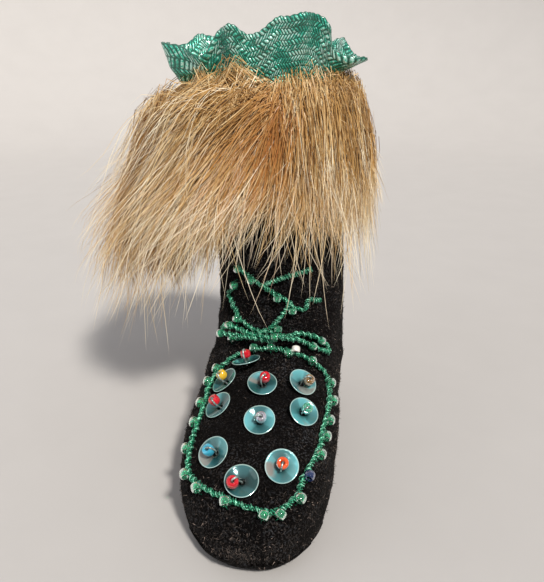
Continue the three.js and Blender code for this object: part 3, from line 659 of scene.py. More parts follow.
def felt_skin(rows, sides, lift, floor):
    """A ring grid of the boot's skin that stops at a height above the tread."""
    row, around = np.meshgrid(rows, np.arange(sides) * 2 / sides, indexing="ij")
    points = lifted(row, around, np.broadcast_to(lift, row.shape)).reshape(-1, 3)
    return points, row.ravel(), around.ravel(), tread_height(points[:, 1]) + floor


class MUKLUK_OT_upper(bpy.types.Operator):
    """Make the felt upper, with its wall, creases and open vamp"""

    bl_idname = "mukluk.upper"
    bl_label = "Felt upper"

    def execute(self, context):
        look = context.scene.mukluk_felt
        floor = SOLE_THICKNESS + PIECE_GAP
        rows = even_rows(OUTER_RINGS)
        points, row, around, ground = felt_skin(rows, OUTER_SIDES, 0, floor)
        below_collar = smooth_step(points[:, 2], COLLAR_HEIGHT, COLLAR_HEIGHT - 3)
        push = felt_lift(points, look) * below_collar
        points = points + facing(row, around) * push[:, None]
        below = points[:, 2] < ground
        points[below, 2] = ground[below]
        faces = grid_faces(OUTER_RINGS, OUTER_SIDES)
        along = np.interp(row, TAPE_ROWS, TAPE) / TAPE[-1]
        hole = inside_vamp(along, (around + 1) % 2 - 1)
        faces = faces[~(below[faces].all(1) | hole[faces].all(1))]
        rows = even_rows(INNER_RINGS)
        inner, _, _, ground = felt_skin(rows, OUTER_SIDES, -FELT_THICKNESS, floor)
        inner_below = inner[:, 2] < ground
        inner[inner_below, 2] = ground[inner_below]
        inner_faces = grid_faces(INNER_RINGS, OUTER_SIDES)
        inner_faces = inner_faces[~inner_below[inner_faces].all(1)][:, ::-1] + len(points)
        rim = np.arange(OUTER_SIDES)
        after = (rim + 1) % OUTER_SIDES
        out_start = (OUTER_RINGS - 1) * OUTER_SIDES
        in_start = len(points) + (INNER_RINGS - 1) * OUTER_SIDES
        rim_faces = np.stack([out_start + rim, out_start + after, in_start + after, in_start + rim], 1)
        points = np.concatenate([points, inner])
        faces = np.concatenate([faces, inner_faces, rim_faces])
        make_piece("felt_upper", points, faces, felt_finish(look), ["upper"])
        return {"FINISHED"}


class MUKLUK_OT_sole(bpy.types.Operator):
    """Make the felt sole, flat under heel and ball with a rounded edge"""

    bl_idname = "mukluk.sole"
    bl_label = "Felt sole"

    def execute(self, context):
        look = context.scene.mukluk_felt
        rows = even_rows(SOLE_RINGS)
        points, row, around, top = felt_skin(rows, SOLE_SIDES, SOLE_EDGE, SOLE_THICKNESS)
        push = look.unevenness / MM * 0.5 * ripples(points, 5, 8)
        points = points + facing(row, around) * push[:, None]
        base = tread_height(points[:, 1])
        above = points[:, 2] > top
        points[:, 2] = np.clip(points[:, 2], base, top)
        faces = grid_faces(SOLE_RINGS, SOLE_SIDES)
        faces = faces[~above[faces].all(1)]
        piece = make_piece("felt_sole", points, faces, felt_finish(look), ["sole"])
        thicken(piece, SOLE_WALL, -1)
        return {"FINISHED"}


class MUKLUK_OT_vamp(bpy.types.Operator):
    """Make the felt vamp that is set into the upper"""

    bl_idname = "mukluk.vamp"
    bl_label = "Felt vamp"

    def execute(self, context):
        look = context.scene.mukluk_felt
        edge = vamp_edge(np.arange(VAMP_SIDES) / VAMP_SIDES)
        share = np.linspace(*VAMP_SHARES, VAMP_RINGS)[:, None, None]
        spot = (VAMP_MIDDLE + (edge - VAMP_MIDDLE) * share).reshape(-1, 2)
        points = on_boot(spot[:, 0], spot[:, 1], np.full(len(spot), -VAMP_SUNK))
        out = facing(row_at(spot[:, 0]), spot[:, 1])
        puff = VAMP_PUFF * (1 - np.repeat(np.linspace(0, 1, VAMP_RINGS), VAMP_SIDES) ** 3)
        points = points + out * (felt_lift(points, look) + puff)[:, None]
        faces = grid_faces(VAMP_RINGS, VAMP_SIDES)[:, ::-1]
        piece = make_piece("felt_vamp", points, faces, felt_finish(look), ["vamp"])
        thicken(piece, VAMP_WALL, 1)
        return {"FINISHED"}


NAP_SEED = 21
NAP_POINTS = 3
NAP_ROWS = 4000
NAP_LOW, NAP_TOP = 0.8, 58  # above the tread, and up to where the fur hides the felt
NAP_WIDTHS = (0.11, 0.06)  # at its root and at its tip


class MUKLUK_OT_nap(bpy.types.Operator):
    """Make the loose fibres that stand on the felt"""

    bl_idname = "mukluk.nap"
    bl_label = "Felt nap"

    def execute(self, context):
        look = context.scene.mukluk_felt
        pick = np.random.default_rng(NAP_SEED)
        number = look.nap_fibres
        row = even_rows(NAP_ROWS)[pick.integers(0, NAP_ROWS, number)]
        around = pick.uniform(-1, 1, number)
        root = skin(row, around)
        keep = (root[:, 2] > tread_height(root[:, 1]) + NAP_LOW) & (root[:, 2] < NAP_TOP)
        row, around, root = row[keep], around[keep], root[keep]
        number = len(row)
        out = facing(row, around)
        root = root + out * (felt_lift(root, look) - 0.05)[:, None]
        flat = unit(np.cross(out, pick.normal(size=(number, 3))))
        bent = unit(np.cross(out, flat) + 0.4 * pick.normal(size=(number, 3)))
        t = np.linspace(0, 1, NAP_POINTS)[None, :, None]
        short = 0.35 + 0.65 * pick.uniform(0, 1, number) ** 3
        length = (look.nap_length / MM * short)[:, None, None]
        rise = (0.15 + 0.9 * pick.uniform(0, 1, number) ** 1.5)[:, None, None]
        paths = root[:, None] + length * (flat[:, None] * t + bent[:, None] * 0.5 * t * t)
        paths = paths + out[:, None] * length * rise * t
        paths[..., 2] = np.maximum(paths[..., 2], 0.1)
        widths = np.linspace(*NAP_WIDTHS, NAP_POINTS)[None] * pick.uniform(0.7, 1.3, (number, 1))
        points, faces, _, each = strand_strips(paths, widths, pick)
        tone = np.repeat(pick.uniform(0, 1, number) ** 2.2, each)
        tones = {"tone": tone}
        make_piece("felt_nap", points, faces, nap_finish(look), values=tones)
        return {"FINISHED"}


# Fur


class FurLook(bpy.types.PropertyGroup):
    deep_colour: bpy.props.FloatVectorProperty(
        name="Underfur", description="The darkest fur", subtype="COLOR", default=(0.17, 0.075, 0.026)
    )
    tan_colour: bpy.props.FloatVectorProperty(
        name="Tan", description="Most of the fur", subtype="COLOR", default=(0.54, 0.31, 0.095)
    )
    pale_colour: bpy.props.FloatVectorProperty(
        name="Pale", description="The pale fur and tips", subtype="COLOR", default=(0.92, 0.73, 0.41)
    )
    tip_colour: bpy.props.FloatVectorProperty(
        name="Tips", description="The palest tips", subtype="COLOR", default=(1.0, 0.92, 0.72)
    )
    warm_colour: bpy.props.FloatVectorProperty(
        name="Warm", description="The rusty patches", subtype="COLOR", default=(0.64, 0.21, 0.035)
    )
    tufts: bpy.props.IntProperty(
        name="Tufts", description="How many tufts each layer of the fur has", default=560
    )
    hairs: bpy.props.IntProperty(name="Hairs", description="How many hairs a tuft has", default=30)
    guard_hairs: bpy.props.IntProperty(
        name="Guard hairs", description="How many loose long hairs there are", default=5200
    )
    hair_width: bpy.props.FloatProperty(
        name="Hair width", description="Width of a hair at its root", default=0.17 * MM, unit="LENGTH"
    )
    hair_length: bpy.props.FloatProperty(
        name="Hair length", description="Length of a long hair", default=25 * MM, unit="LENGTH"
    )


# The fur's outline: shares of its height from its top down, and the share of its depth there
FUR_SHARES = (-0.15, -0.04, 0, 0.05, 0.15, 0.27, 0.45, 0.6, 0.8, 0.94, 1.0, 1.25, 1.55)
FUR_OUT = (0.02, 0.12, 0.27, 0.45, 0.58, 0.7, 0.9, 1.05, 1.08, 0.98, 0.9, 0.84, 0.78)
FUR_HEIGHT = COLLAR_HEIGHT + FUR_TOP
FUR_REACH = (41, 7.6)  # where hairs begin to bend back, and how much farther they go
FUR_PARTED = (2.6, 1.8)  # how far the hairs part below the ribbon, and how much more in the sweep
# Patches of colour: around, millimetres down, their sizes, and how much paler and warmer
FUR_PATCHES = (
    (-0.1, 18, 0.12, 10, 0.32, 0.0),
    (0.06, 6, 0.06, 5, -0.12, 0.9),
    (-0.02, 9, 0.05, 4, -0.05, 0.6),
    (-0.3, 9, 0.06, 8, -0.16, 0.25),
    (-0.44, 16, 0.06, 11, -0.14, 0.2),
    (-0.22, 26, 0.09, 7, -0.1, 0.15),
    (0.2, 22, 0.1, 9, -0.12, 0.3),
    (0.62, 15, 0.14, 9, 0.15, 0.1),
    (0.9, 18, 0.12, 9, -0.2, 0.3),
    (-0.8, 14, 0.12, 8, 0.12, 0.1),
)


def fur_sweep(around):
    return np.maximum(-np.sin(around * np.pi), 0) ** 1.3


def fur_depth(around):
    return FUR_DEPTH + FUR_SWEEP * fur_sweep(around)


def fur_band(around):
    """The height of the fur's thick part."""
    return FUR_BAND * (1 + FUR_DROP * fur_sweep(around))


def fur_long(around):
    """Where the hairs hang longest: in front of the swept side."""
    return np.exp(-(((around + 0.22) / 0.2) ** 2))


def fur_point(down, around, layer):
    """A point of the fur: down from its top, and a layer from 0, at the skin, to 1, outside."""
    band = fur_band(around)
    out = np.interp(down / band, FUR_SHARES, FUR_OUT) * layer * fur_depth(around)
    parted = FUR_PARTED[0] + FUR_PARTED[1] * fur_sweep(around)
    return beside(FUR_HEIGHT - parted - down * (1 - parted / band), around, PIECE_GAP + out)


# How hairs lie: their slant at the root, how much of it they lose lower down, how far a straight
# hair sags for its length, and the shaft's reach, which turns a way aside into a way round it
ROOT_SLANT, SLANT_LOST = 0.87, 0.5
HAIR_SAG = 0.16
SHAFT_REACH = 14


def comb(around, down, length, layer, lift, count, tilt, straight):
    """Paths of strands combed down and, in front and behind, toward the -X side."""
    spots = []
    step = length / (count - 1)
    straight = straight * (0.35 + 0.65 * smooth_step(fur_sweep(around), 0.05, 0.5))
    for k in range(count):
        t = k / (count - 1)
        spots.append(fur_point(down, around, layer + lift * t))
        side = np.sin(around * np.pi)
        wind = -np.cos(around * np.pi) * (1 - smooth_step(side, -0.1, 0.45))
        level = ROOT_SLANT - SLANT_LOST * smooth_step(down / fur_band(around), 0.1, 0.55)
        slant = level * wind + tilt * (0.4 + 0.6 * t)
        down = down + step * np.cos(slant)
        reach = np.pi * (SHAFT_REACH + 0.5 * fur_depth(around))
        around = around + step * np.sin(slant) / reach
    paths = np.stack(spots, 1)
    ahead = unit(paths[:, 2] - paths[:, 0])
    t = np.linspace(0, 1, count)[None, :, None]
    direct = paths[:, :1] + ahead[:, None] * length[:, None, None] * t
    direct[..., 2] -= HAIR_SAG * length[:, None] * t[..., 0] ** 2
    return paths + (direct - paths) * np.asarray(straight)[:, None, None]


def kept_near(paths):
    """Hairs that reach far to the -X side bend back before they leave the boot's box."""
    start, room = FUR_REACH
    beyond = np.maximum(-paths[..., 0] - start, 0)
    paths[..., 0] = np.where(beyond > 0, -start - room * np.tanh(beyond / room), paths[..., 0])
    return paths


def fur_tones(around, down):
    """How pale and how warm the hairs that grow at each spot are."""
    pale = 0.5 + 0.08 * np.sin(around * 31 + 1.3) + 0.07 * np.sin(around * 57 + down * 0.2)
    pale = pale + 0.16 * smooth_step(down, 5, 0)
    warm = np.zeros(around.shape) + 0.1
    for a, d, wide, tall, paler, warmer in FUR_PATCHES:
        near = np.exp(-((apart(around, a) / wide) ** 2) - ((down - d) / tall) ** 2)
        pale, warm = pale + paler * near, warm + warmer * near
    return pale, np.clip(warm, 0, 1)


def fur_finish(look):
    made = bpy.data.materials.get("tan_fur")
    if made:
        return made
    fur = Finish("tan_fur", Roughness=0.42, Specular_IOR_Level=0.5, Sheen_Weight=0.1)
    stops = [
        (0.0, look.deep_colour),
        (0.3, colour_of(look.tan_colour, 0.6)),
        (0.58, look.tan_colour),
        (0.9, look.pale_colour),
        (1.0, look.tip_colour),
    ]
    shade = fur.ramp(fur.attribute("pale"), stops)
    rusty = fur.mix(0.6, shade, look.warm_colour)
    fur.into(fur.mix(fur.attribute("warm"), shade, rusty), "Base Color")
    return fur.material


def hide_finish(look):
    hide = Finish("fur_hide", Roughness=0.9)
    streak = hide.noise(1.1, 4, stretch=(1, 1, 0.12))
    deep, tan = colour_of(look.deep_colour, 0.7), colour_of(look.tan_colour, 0.4)
    hide.into(hide.ramp(streak, [(0.35, deep), (0.62, tan)]), "Base Color")
    hide.bump(streak, 0.5)
    return hide.material


HIDE_RINGS, HIDE_SIDES = 40, 160
HIDE_SHARES = (0.01, 0.8)
HIDE_LAYER, HIDE_UNEVEN = 0.72, 0.05


class MUKLUK_OT_fur_hide(bpy.types.Operator):
    """Make the dense underfur that carries the hairs"""

    bl_idname = "mukluk.fur_hide"
    bl_label = "Underfur"

    def execute(self, context):
        look = context.scene.mukluk_fur
        around = np.arange(HIDE_SIDES) * 2 / HIDE_SIDES
        shares = np.linspace(*HIDE_SHARES, HIDE_RINGS)
        share, way = np.meshgrid(shares, around, indexing="ij")
        down = share * fur_band(way)
        crumpled = np.stack([way * 30, down * 0.12, way * 0], -1).reshape(-1, 3)
        layer = HIDE_LAYER + HIDE_UNEVEN * ripples(crumpled, 3, 5).reshape(down.shape)
        skin_side = fur_point(down[::-1], way, 0)
        tuck = 1 - 0.7 * smooth_step(share, 0.5, 0.8)
        body = fur_point(down, way, layer * tuck)
        points = np.concatenate([body, skin_side]).reshape(-1, 3)
        faces = grid_faces(2 * HIDE_RINGS + 1, HIDE_SIDES) % len(points)
        make_piece("fur_hide", points, faces[:, ::-1], hide_finish(look), ["fur_cuff"])
        return {"FINISHED"}


TUFT_SPREAD = np.array([1.1, 1.1, 1.5])


def tuft_paths(pick, centres, hairs, count):
    """Hairs gathered round the middle line of each tuft."""
    number = centres.shape[0] * hairs
    middle = np.repeat(centres, hairs, 0)
    t = np.linspace(0, 1, count)[None, :, None]
    offset = pick.normal(size=(number, 3)) * TUFT_SPREAD
    gather = 1 - 0.7 * t**1.3
    stray = pick.normal(size=(number, 3))[:, None] * 0.6 * t**2
    wave = 0.18 * np.sin(t * 7 + pick.uniform(0, 6, (number, 1, 1))) * unit(offset)[:, None]
    reach = pick.uniform(0.6, 1.0, (number, 1, 1))
    place = np.clip(t * reach * (count - 1), 0, count - 1.001)
    low = np.floor(place).astype(int)
    part = place - low
    hair, low = np.arange(number)[:, None], low[..., 0]
    along = middle[hair, low] * (1 - part) + middle[hair, low + 1] * part
    return along + offset[:, None] * gather + stray + wave


# Layers of hair: name, seed, points on a hair, tufts as a share, where rooted as shares of the
# height, layers, lift, length, rise and how straight
FUR_LAYERS = (
    ("fur_under_hairs", 31, 5, 0.65, (0.25, 0.8), (0.35, 0.8), 0.06, 0.75, 0.0, 0.08),
    ("fur_middle_hairs", 32, 6, 0.98, (0.08, 0.66), (0.6, 0.94), 0.1, 0.9, 0.0, 0.18),
    ("fur_outer_hairs", 33, 6, 0.98, (0.0, 0.5), (0.82, 1.0), 0.1, 1.0, 0.0, 0.26),
    ("fur_top_hairs", 34, 6, 0.8, (-0.05, 0.22), (0.8, 1.06), 0.1, 0.95, 3.2, 0.3),
    ("fur_fuzz_hairs", 35, 4, 0.75, (-0.12, 0.14), (0.3, 1.15), 0.2, 0.3, 3.8, 0.0),
)
HANG_SHARE = 0.92  # how much lower a hair's end is than its root, as a share of its length
HAIR_TAPER = [1, 0.85, 0.3]  # widths at the root, halfway and at the tip


def hair_widths(look, taper, count):
    """Widths along a hair, in millimetres."""
    return look.hair_width / MM * np.interp(np.linspace(0, 1, count), [0, 0.5, 1], taper)[None]


class MUKLUK_OT_fur_hairs(bpy.types.Operator):
    """Make the combed hairs of the fur, layer by layer"""

    bl_idname = "mukluk.fur_hairs"
    bl_label = "Fur hairs"

    def execute(self, context):
        look = context.scene.mukluk_fur
        hairs = look.hairs
        for name, seed, count, crowd, shares, layers, lift, long, rise, straight in FUR_LAYERS:
            pick = np.random.default_rng(seed)
            tufts = int(look.tufts * crowd) // 1
            around = -1 + 2 * (np.arange(tufts) + pick.uniform(0, 1, tufts)) / tufts
            around = around + 0.1 * np.sin(around * np.pi)
            band = fur_band(around)
            down = band * pick.uniform(*shares, tufts)
            length = look.hair_length / MM * long * pick.uniform(0.7, 1.1, tufts)
            full = band * (0.84 + 0.08 * fur_sweep(around) + 0.38 * fur_long(around))
            end = full + pick.uniform(-7, 3, tufts) + 11 * pick.uniform(0, 1, tufts) ** 4
            length = np.clip((end - down) / HANG_SHARE, 5 * long, length)
            layer = pick.uniform(*layers, tufts)
            tilt = pick.normal(0, 0.15 + 0.5 * (long < 0.5), tufts)
            centres = comb(around, down, length, layer, lift, count, tilt, straight)
            t = np.linspace(0, 1, count)
            arch = np.sin(np.pi * np.minimum(t * 1.5, 1))
            centres[..., 2] += rise * pick.uniform(0.2, 1, tufts)[:, None] * arch
            paths = kept_near(tuft_paths(pick, centres, hairs, count))
            pale, warm = fur_tones(around, down)
            pale = np.repeat(pale + pick.normal(0, 0.08, tufts), hairs)
            # The under layer is drawn 0.12 darker: painted shade deep inside the fur.
            pale = pale + pick.normal(0, 0.13, len(pale)) - 0.12 * (name == "fur_under_hairs")
            widths = hair_widths(look, HAIR_TAPER, count) * pick.uniform(0.7, 1.25, (len(paths), 1))
            points, faces, share, each = strand_strips(paths, widths, pick)
            pale = np.repeat(pale, each) + 0.38 * share**2 - 0.2 * (1 - share) ** 2
            warm = np.repeat(warm, hairs * each) * (1 - 0.4 * share)
            tones = {"pale": np.clip(pale, 0, 1), "warm": warm}
            make_piece(name, points, faces, fur_finish(look), values=tones)
        return {"FINISHED"}


GUARD_SEED = 40
GUARD_POINTS = 8
GUARD_TAPER = [1, 0.8, 0.3]
LONGEST_SHARE = 0.07
GUARD_ENDS = (43, 56)  # millimetres down from the fur's top, the most that a hair reaches
FLOWN_WAY = np.array([-6.5, -1.0, 1.0])  # how far the loosest hairs fly out of the sweep
UPWARD_WAY = np.array([-0.2, 0, 1.0]) * 7  # how far hairs at the fur's top stand up


class MUKLUK_OT_fur_guard(bpy.types.Operator):
    """Make the loose long hairs that stand out of the fur"""

    bl_idname = "mukluk.fur_guard"
    bl_label = "Guard hairs"

    def execute(self, context):
        look = context.scene.mukluk_fur
        pick = np.random.default_rng(GUARD_SEED)
        number, count = look.guard_hairs, GUARD_POINTS
        around = pick.uniform(-1, 1, number)
        band = fur_band(around)
        down = band * pick.uniform(-0.03, 0.85, number)
        length = look.hair_length / MM * pick.uniform(0.6, 1.15, number)
        sweep = fur_sweep(around)
        end = band * (1 + 0.26 * fur_long(around)) + pick.uniform(-5, 5, number)
        end = end + 11 * pick.uniform(0, 1, number) ** 2
        longest = pick.uniform(0, 1, number) < LONGEST_SHARE
        end = end + longest * pick.uniform(7, 17, number)
        end = np.minimum(end, pick.uniform(*GUARD_ENDS, number))
        length = np.clip((end - down) / HANG_SHARE, 6, length + longest * 12)
        lift = pick.uniform(0.02, 0.34, number) * (1 + 0.4 * sweep)
        layer = pick.uniform(0.9, 1.08, number)
        tilt = pick.normal(0, 0.3, number)
        paths = comb(around, down, length, layer, lift, count, tilt, pick.uniform(0.3, 1, number))
        t = np.linspace(0, 1, count)[None, :, None]
        paths = paths + pick.normal(size=(number, 3))[:, None] * 1.3 * t**2
        flown = (sweep * pick.uniform(0, 1, number) ** 2)[:, None, None] * t**1.6
        paths = paths + FLOWN_WAY * flown
        upward = UPWARD_WAY * np.sin(np.pi * np.minimum(t * 1.3, 1))
        near_top = smooth_step(down, 6, 0) * pick.uniform(0, 1, number)
        paths = kept_near(paths + upward * near_top[:, None, None])
        pale, warm = fur_tones(around, down)
        pale = pale + pick.normal(0.2, 0.16, number) + 0.25 * longest
        widths = hair_widths(look, GUARD_TAPER, count) * (0.7 + 0.35 * longest)[:, None]
        points, faces, share, each = strand_strips(paths, widths, pick)
        pale = np.repeat(pale, each) + 0.34 * share**2
        tones = {"pale": np.clip(pale, 0, 1), "warm": np.repeat(warm, each)}
        make_piece("fur_guard_hairs", points, faces, fur_finish(look), values=tones)
        return {"FINISHED"}


# Ribbon


class RibbonLook(bpy.types.PropertyGroup):
    colour: bpy.props.FloatVectorProperty(
        name="Ribbon", description="The metallic thread", subtype="COLOR", default=(0.05, 0.66, 0.46)
    )
    # The glint colour is a painted highlight on the metallic dashes.
    glint_colour: bpy.props.FloatVectorProperty(
        name="Glint", description="The brightest threads", subtype="COLOR", default=(0.6, 1.0, 0.88)
    )
    ground_colour: bpy.props.FloatVectorProperty(
        name="Ground", description="Between the threads", subtype="COLOR", default=(0.006, 0.13, 0.085)
    )
    thickness: bpy.props.FloatProperty(
        name="Thickness", description="Thickness of the ribbon", default=0.36 * MM, unit="LENGTH"
    )
    dash_rows: bpy.props.FloatProperty(
        name="Row height", description="Height of a row of woven dashes", default=1.0 * MM, unit="LENGTH"
    )
    dash_pitch: bpy.props.FloatProperty(
        name="Dash pitch", description="Length of a woven dash", default=0.62 * MM, unit="LENGTH"
    )


# The ruffle's lobes: around, how wide, and how much they rise and flare
RUFFLE_LOBES = (
    (-0.42, 0.17, 0.95, 1.75),
    (-0.14, 0.07, 1.5, 0.2),
    (0.0, 0.095, 1.25, -0.2),
    (0.2, 0.145, 2.1, 0.25),
    (0.46, 0.09, 0.25, 1.3),
    (0.68, 0.12, 1.2, 0.6),
    (0.9, 0.1, 1.4, 0.4),
    (-0.86, 0.08, 1.05, 0.6),
    (-0.66, 0.1, 1.3, 0.6),
)
LOBE_ROUND = 3.4
# The lobe at the left leans out at its root and hangs a little over the collar
HANGING_LOBE = 0
HANGING_ROOT = 0.6
HANGING_DROP = 3.2
HANGING_FROM = 0.12
GATHERS = 15
GATHER_DEPTH = 0.7
RIBBON_CURL = 1.5
RIBBON_GIRTH = 46  # millimetres of ribbon for half the way round
RIBBON_SIDES = 480
RIBBON_UPS = np.concatenate([np.linspace(-0.95, -0.1, 5), np.linspace(0, 1, 27)])
ROW_SHIFT = 0.37  # how far each row of dashes starts from the last, in dashes
SCALLOP, SCALLOP_PITCH = 0.22, 1.1  # the small waves of the ribbon's edge
CRUMPLE = 0.16


def lobe_share(around, lobe):
    return np.exp(-((apart(around, lobe[0]) / lobe[1]) ** LOBE_ROUND))


def lobes_at(around, column):
    return RIBBON_RISE * sum(lobe[column] * lobe_share(around, lobe) for lobe in RUFFLE_LOBES)


def ribbon_middle(up, around):
    rise = RIBBON_RISE + lobes_at(around, 2)
    height = COLLAR_HEIGHT + up * np.where(up < 0, RIBBON_TUCK, rise)
    free = np.maximum(up, 0)
    sewn = -FELT_THICKNESS - PIECE_GAP - RIBBON_WALL / 2
    hanging = lobe_share(around, RUFFLE_LOBES[HANGING_LOBE])
    curl = RIBBON_CURL + (HANGING_ROOT - RIBBON_CURL) * hanging
    flare = (RIBBON_FLARE + lobes_at(around, 3)) * free**curl
    sag = np.clip((free - HANGING_FROM) / (1 - HANGING_FROM), 0, 1)
    height = height - HANGING_DROP * hanging * np.sin(np.pi * sag)
    gather = GATHER_DEPTH * np.sin(GATHERS * np.pi * around) * free
    return beside(height, around, sewn + flare + gather)


def ribbon_finish(look):
    """Rows of short slanted metallic dashes that lean the other way in each row, coloured with painted
    glints in broad patches and painted shade elsewhere.
    """
    ribbon = Finish("metallic_ribbon", Metallic=0.3, Sheen_Weight=0.1, Coat_Weight=0.6)
    maths = ribbon.maths
    place = ribbon.node("SeparateXYZ", {"Vector": ribbon.node("TexCoord").outputs["UV"]})
    rows = maths("DIVIDE", place.outputs["Y"], look.dash_rows / MM)
    row, within = maths("FLOOR", rows), maths("FRACT", rows)
    lean = maths("MULTIPLY_ADD", maths("MODULO", row, 2.0), 2.0, -1.0)
    dashes = maths("DIVIDE", place.outputs["X"], look.dash_pitch / MM)
    leaning = maths("ADD", dashes, maths("MULTIPLY", lean, within))
    phase = maths("ADD", leaning, maths("MULTIPLY", row, ROW_SHIFT))
    wave = maths("SINE", maths("MULTIPLY", phase, math.pi))
    arch = maths("SINE", maths("MULTIPLY", within, math.pi))
    dash = maths("MULTIPLY", maths("MULTIPLY", wave, wave), maths("POWER", arch, 0.6))
    # Painted light on the dashes: broad patches and fine noise give painted glints, and the darker colour
    # at the low end is painted shade.
    cloudy = maths("MULTIPLY_ADD", ribbon.noise(0.32, 2), 0.9, -0.45)
    glint = maths("ADD", cloudy, ribbon.noise(2.1, 2))
    dark = colour_of(look.colour, 0.5)
    painted_brightness = ribbon.ramp(glint, [(0.36, dark), (0.47, look.colour), (0.58, look.glint_colour)])
    threads = ribbon.mask(dash, 0.12, 0.5)
    ribbon.into(ribbon.mix(threads, look.ground_colour, painted_brightness), "Base Color")
    ribbon.into(ribbon.ramp(dash, [(0.1, grey(0.6)), (0.6, grey(0.22))]), "Roughness")
    ribbon.bump(dash, 0.16)
    return ribbon.material


class MUKLUK_OT_ruffle(bpy.types.Operator):
    """Make the gathered ribbon round the collar, with its woven dashes"""

    bl_idname = "mukluk.ruffle"
    bl_label = "Ribbon ruffle"

    def execute(self, context):
        look = context.scene.mukluk_ribbon
        turns = np.arange(RIBBON_SIDES) * 2 / RIBBON_SIDES - 1
        up, around = np.meshgrid(RIBBON_UPS, turns, indexing="ij")
        middle = ribbon_middle(up, around)
        upward = ribbon_middle(up + STEP, around) - ribbon_middle(up - STEP, around)
        sideways = ribbon_middle(up, around + STEP) - ribbon_middle(up, around - STEP)
        out = unit(np.cross(sideways, upward))
        rise = RIBBON_RISE + lobes_at(around, 2)
        tall = np.where(up < 0, up * RIBBON_TUCK, up * rise)
        length = around * RIBBON_GIRTH
        scallop = SCALLOP * np.abs(np.sin(length * np.pi / SCALLOP_PITCH))
        middle[..., 2] += scallop * smooth_step(up, 0.93, 1.0)
        half = look.thickness / MM / 2
        crumple = CRUMPLE * ripples(middle.reshape(-1, 3), 3.4, 9).reshape(up.shape)
        crumple = crumple * np.maximum(up, 0)
        outer = middle + out * (half + crumple)[..., None]
        inner = middle - out * (half - crumple)[..., None]
        points = np.concatenate([outer, inner[::-1]]).reshape(-1, 3)
        faces = grid_faces(2 * len(RIBBON_UPS) + 1, RIBBON_SIDES) % len(points)
        place = np.stack([length + RIBBON_GIRTH, rise - tall], -1)
        both = np.concatenate([place, place[::-1]]).reshape(-1, 2)
        finish = ribbon_finish(look)
        make_piece("ribbon_ruffle", points, faces, finish, ["ruffle"], uvs=both)
        return {"FINISHED"}


# Cords, beads and sequins


class TrimLook(bpy.types.PropertyGroup):
    cord_colour: bpy.props.FloatVectorProperty(
        name="Cord", description="The twisted cords", subtype="COLOR", default=(0.012, 0.2, 0.105)
    )
    # The cord glint colour is a painted highlight, and also the colour of the pale metallic filament.
    cord_glint: bpy.props.FloatVectorProperty(
        name="Cord glint", description="The metallic filament", subtype="COLOR", default=(0.5, 1.0, 0.78)
    )
    cord_bead_colour: bpy.props.FloatVectorProperty(
        name="Cord beads", description="The cords' glass", subtype="COLOR", default=(0.14, 0.84, 0.48)
    )
    # The sequins' deep colour is painted shade, their warm colour a painted reflection and their edge
    # colour a painted highlight round the rim.
    sequin_shade_colour: bpy.props.FloatVectorProperty(
        name="Deep", description="The darkest sequins", subtype="COLOR", default=(0.015, 0.085, 0.09)
    )
    sequin_colour: bpy.props.FloatVectorProperty(
        name="Sequins", description="Most of the sequins", subtype="COLOR", default=(0.12, 0.4, 0.44)
    )
    sequin_reflection_blush: bpy.props.FloatVectorProperty(
        name="Blush", description="The sequins' warm parts", subtype="COLOR", default=(0.42, 0.36, 0.32)
    )
    sequin_rim_highlight: bpy.props.FloatVectorProperty(
        name="Edge", description="The sequins' pale rims", subtype="COLOR", default=(0.6, 0.85, 0.82)
    )
    thread_colour: bpy.props.FloatVectorProperty(
        name="Thread", description="The sewing thread", subtype="COLOR", default=(0.6, 0.72, 0.7)
    )


VAMP_BEADS = (
    (0.448, -0.034),
    (0.452, 0.01),
    (0.4432, 0.07),
    (0.437, 0.175),
    (0.404, 0.292),
    (0.365, 0.316),
    (0.31, 0.3),
    (0.267, 0.29),
    (0.22, 0.278),
    (0.162, 0.243),
    (0.1163, 0.248),
    (0.08, 0.189),
    (0.0693, 0.099),
    (0.0837, -0.096),
    (0.1143, -0.25),
    (0.1501, -0.314),
    (0.206, -0.304),
    (0.264, -0.268),
    (0.312, -0.248),
    (0.3678, -0.231),
    (0.398, -0.192),
)
NAVY_VAMP_BEAD = 9
WHITE_BEAD = (0.4554, 0.098)
LACE_CORDS = (
    (
        (0.636, -0.146),
        (0.61, -0.075),
        (0.594, -0.029),
        (0.578, 0.016),
        (0.564, 0.061),
        (0.552, 0.102),
        (0.556, 0.145),
        (0.575, 0.152),
        (0.585, 0.222),
    ),
    ((0.648, 0.172), (0.628, 0.095), (0.61, 0.02), (0.596, -0.03)),
    (
        (0.566, 0.075),
        (0.545, 0.055),
        (0.512, 0.018),
        (0.495, -0.005),
        (0.482, -0.04),
        (0.476, -0.09),
        (0.476, -0.13),
    ),
    (
        (0.602, -0.175),
        (0.585, -0.208),
        (0.558, -0.168),
        (0.528, -0.128),
        (0.508, -0.085),
        (0.494, -0.035),
        (0.49, 0.015),
        (0.485, 0.05),
    ),
)
LACE_BEADS = (
    (0.638, -0.15),
    (0.609, -0.08),
    (0.602, -0.168),
    (0.57, 0.022),
    (0.545, 0.082),
    (0.52, -0.128),
    (0.474, -0.135),
    (0.478, -0.07),
    (0.499, 0.028),
)
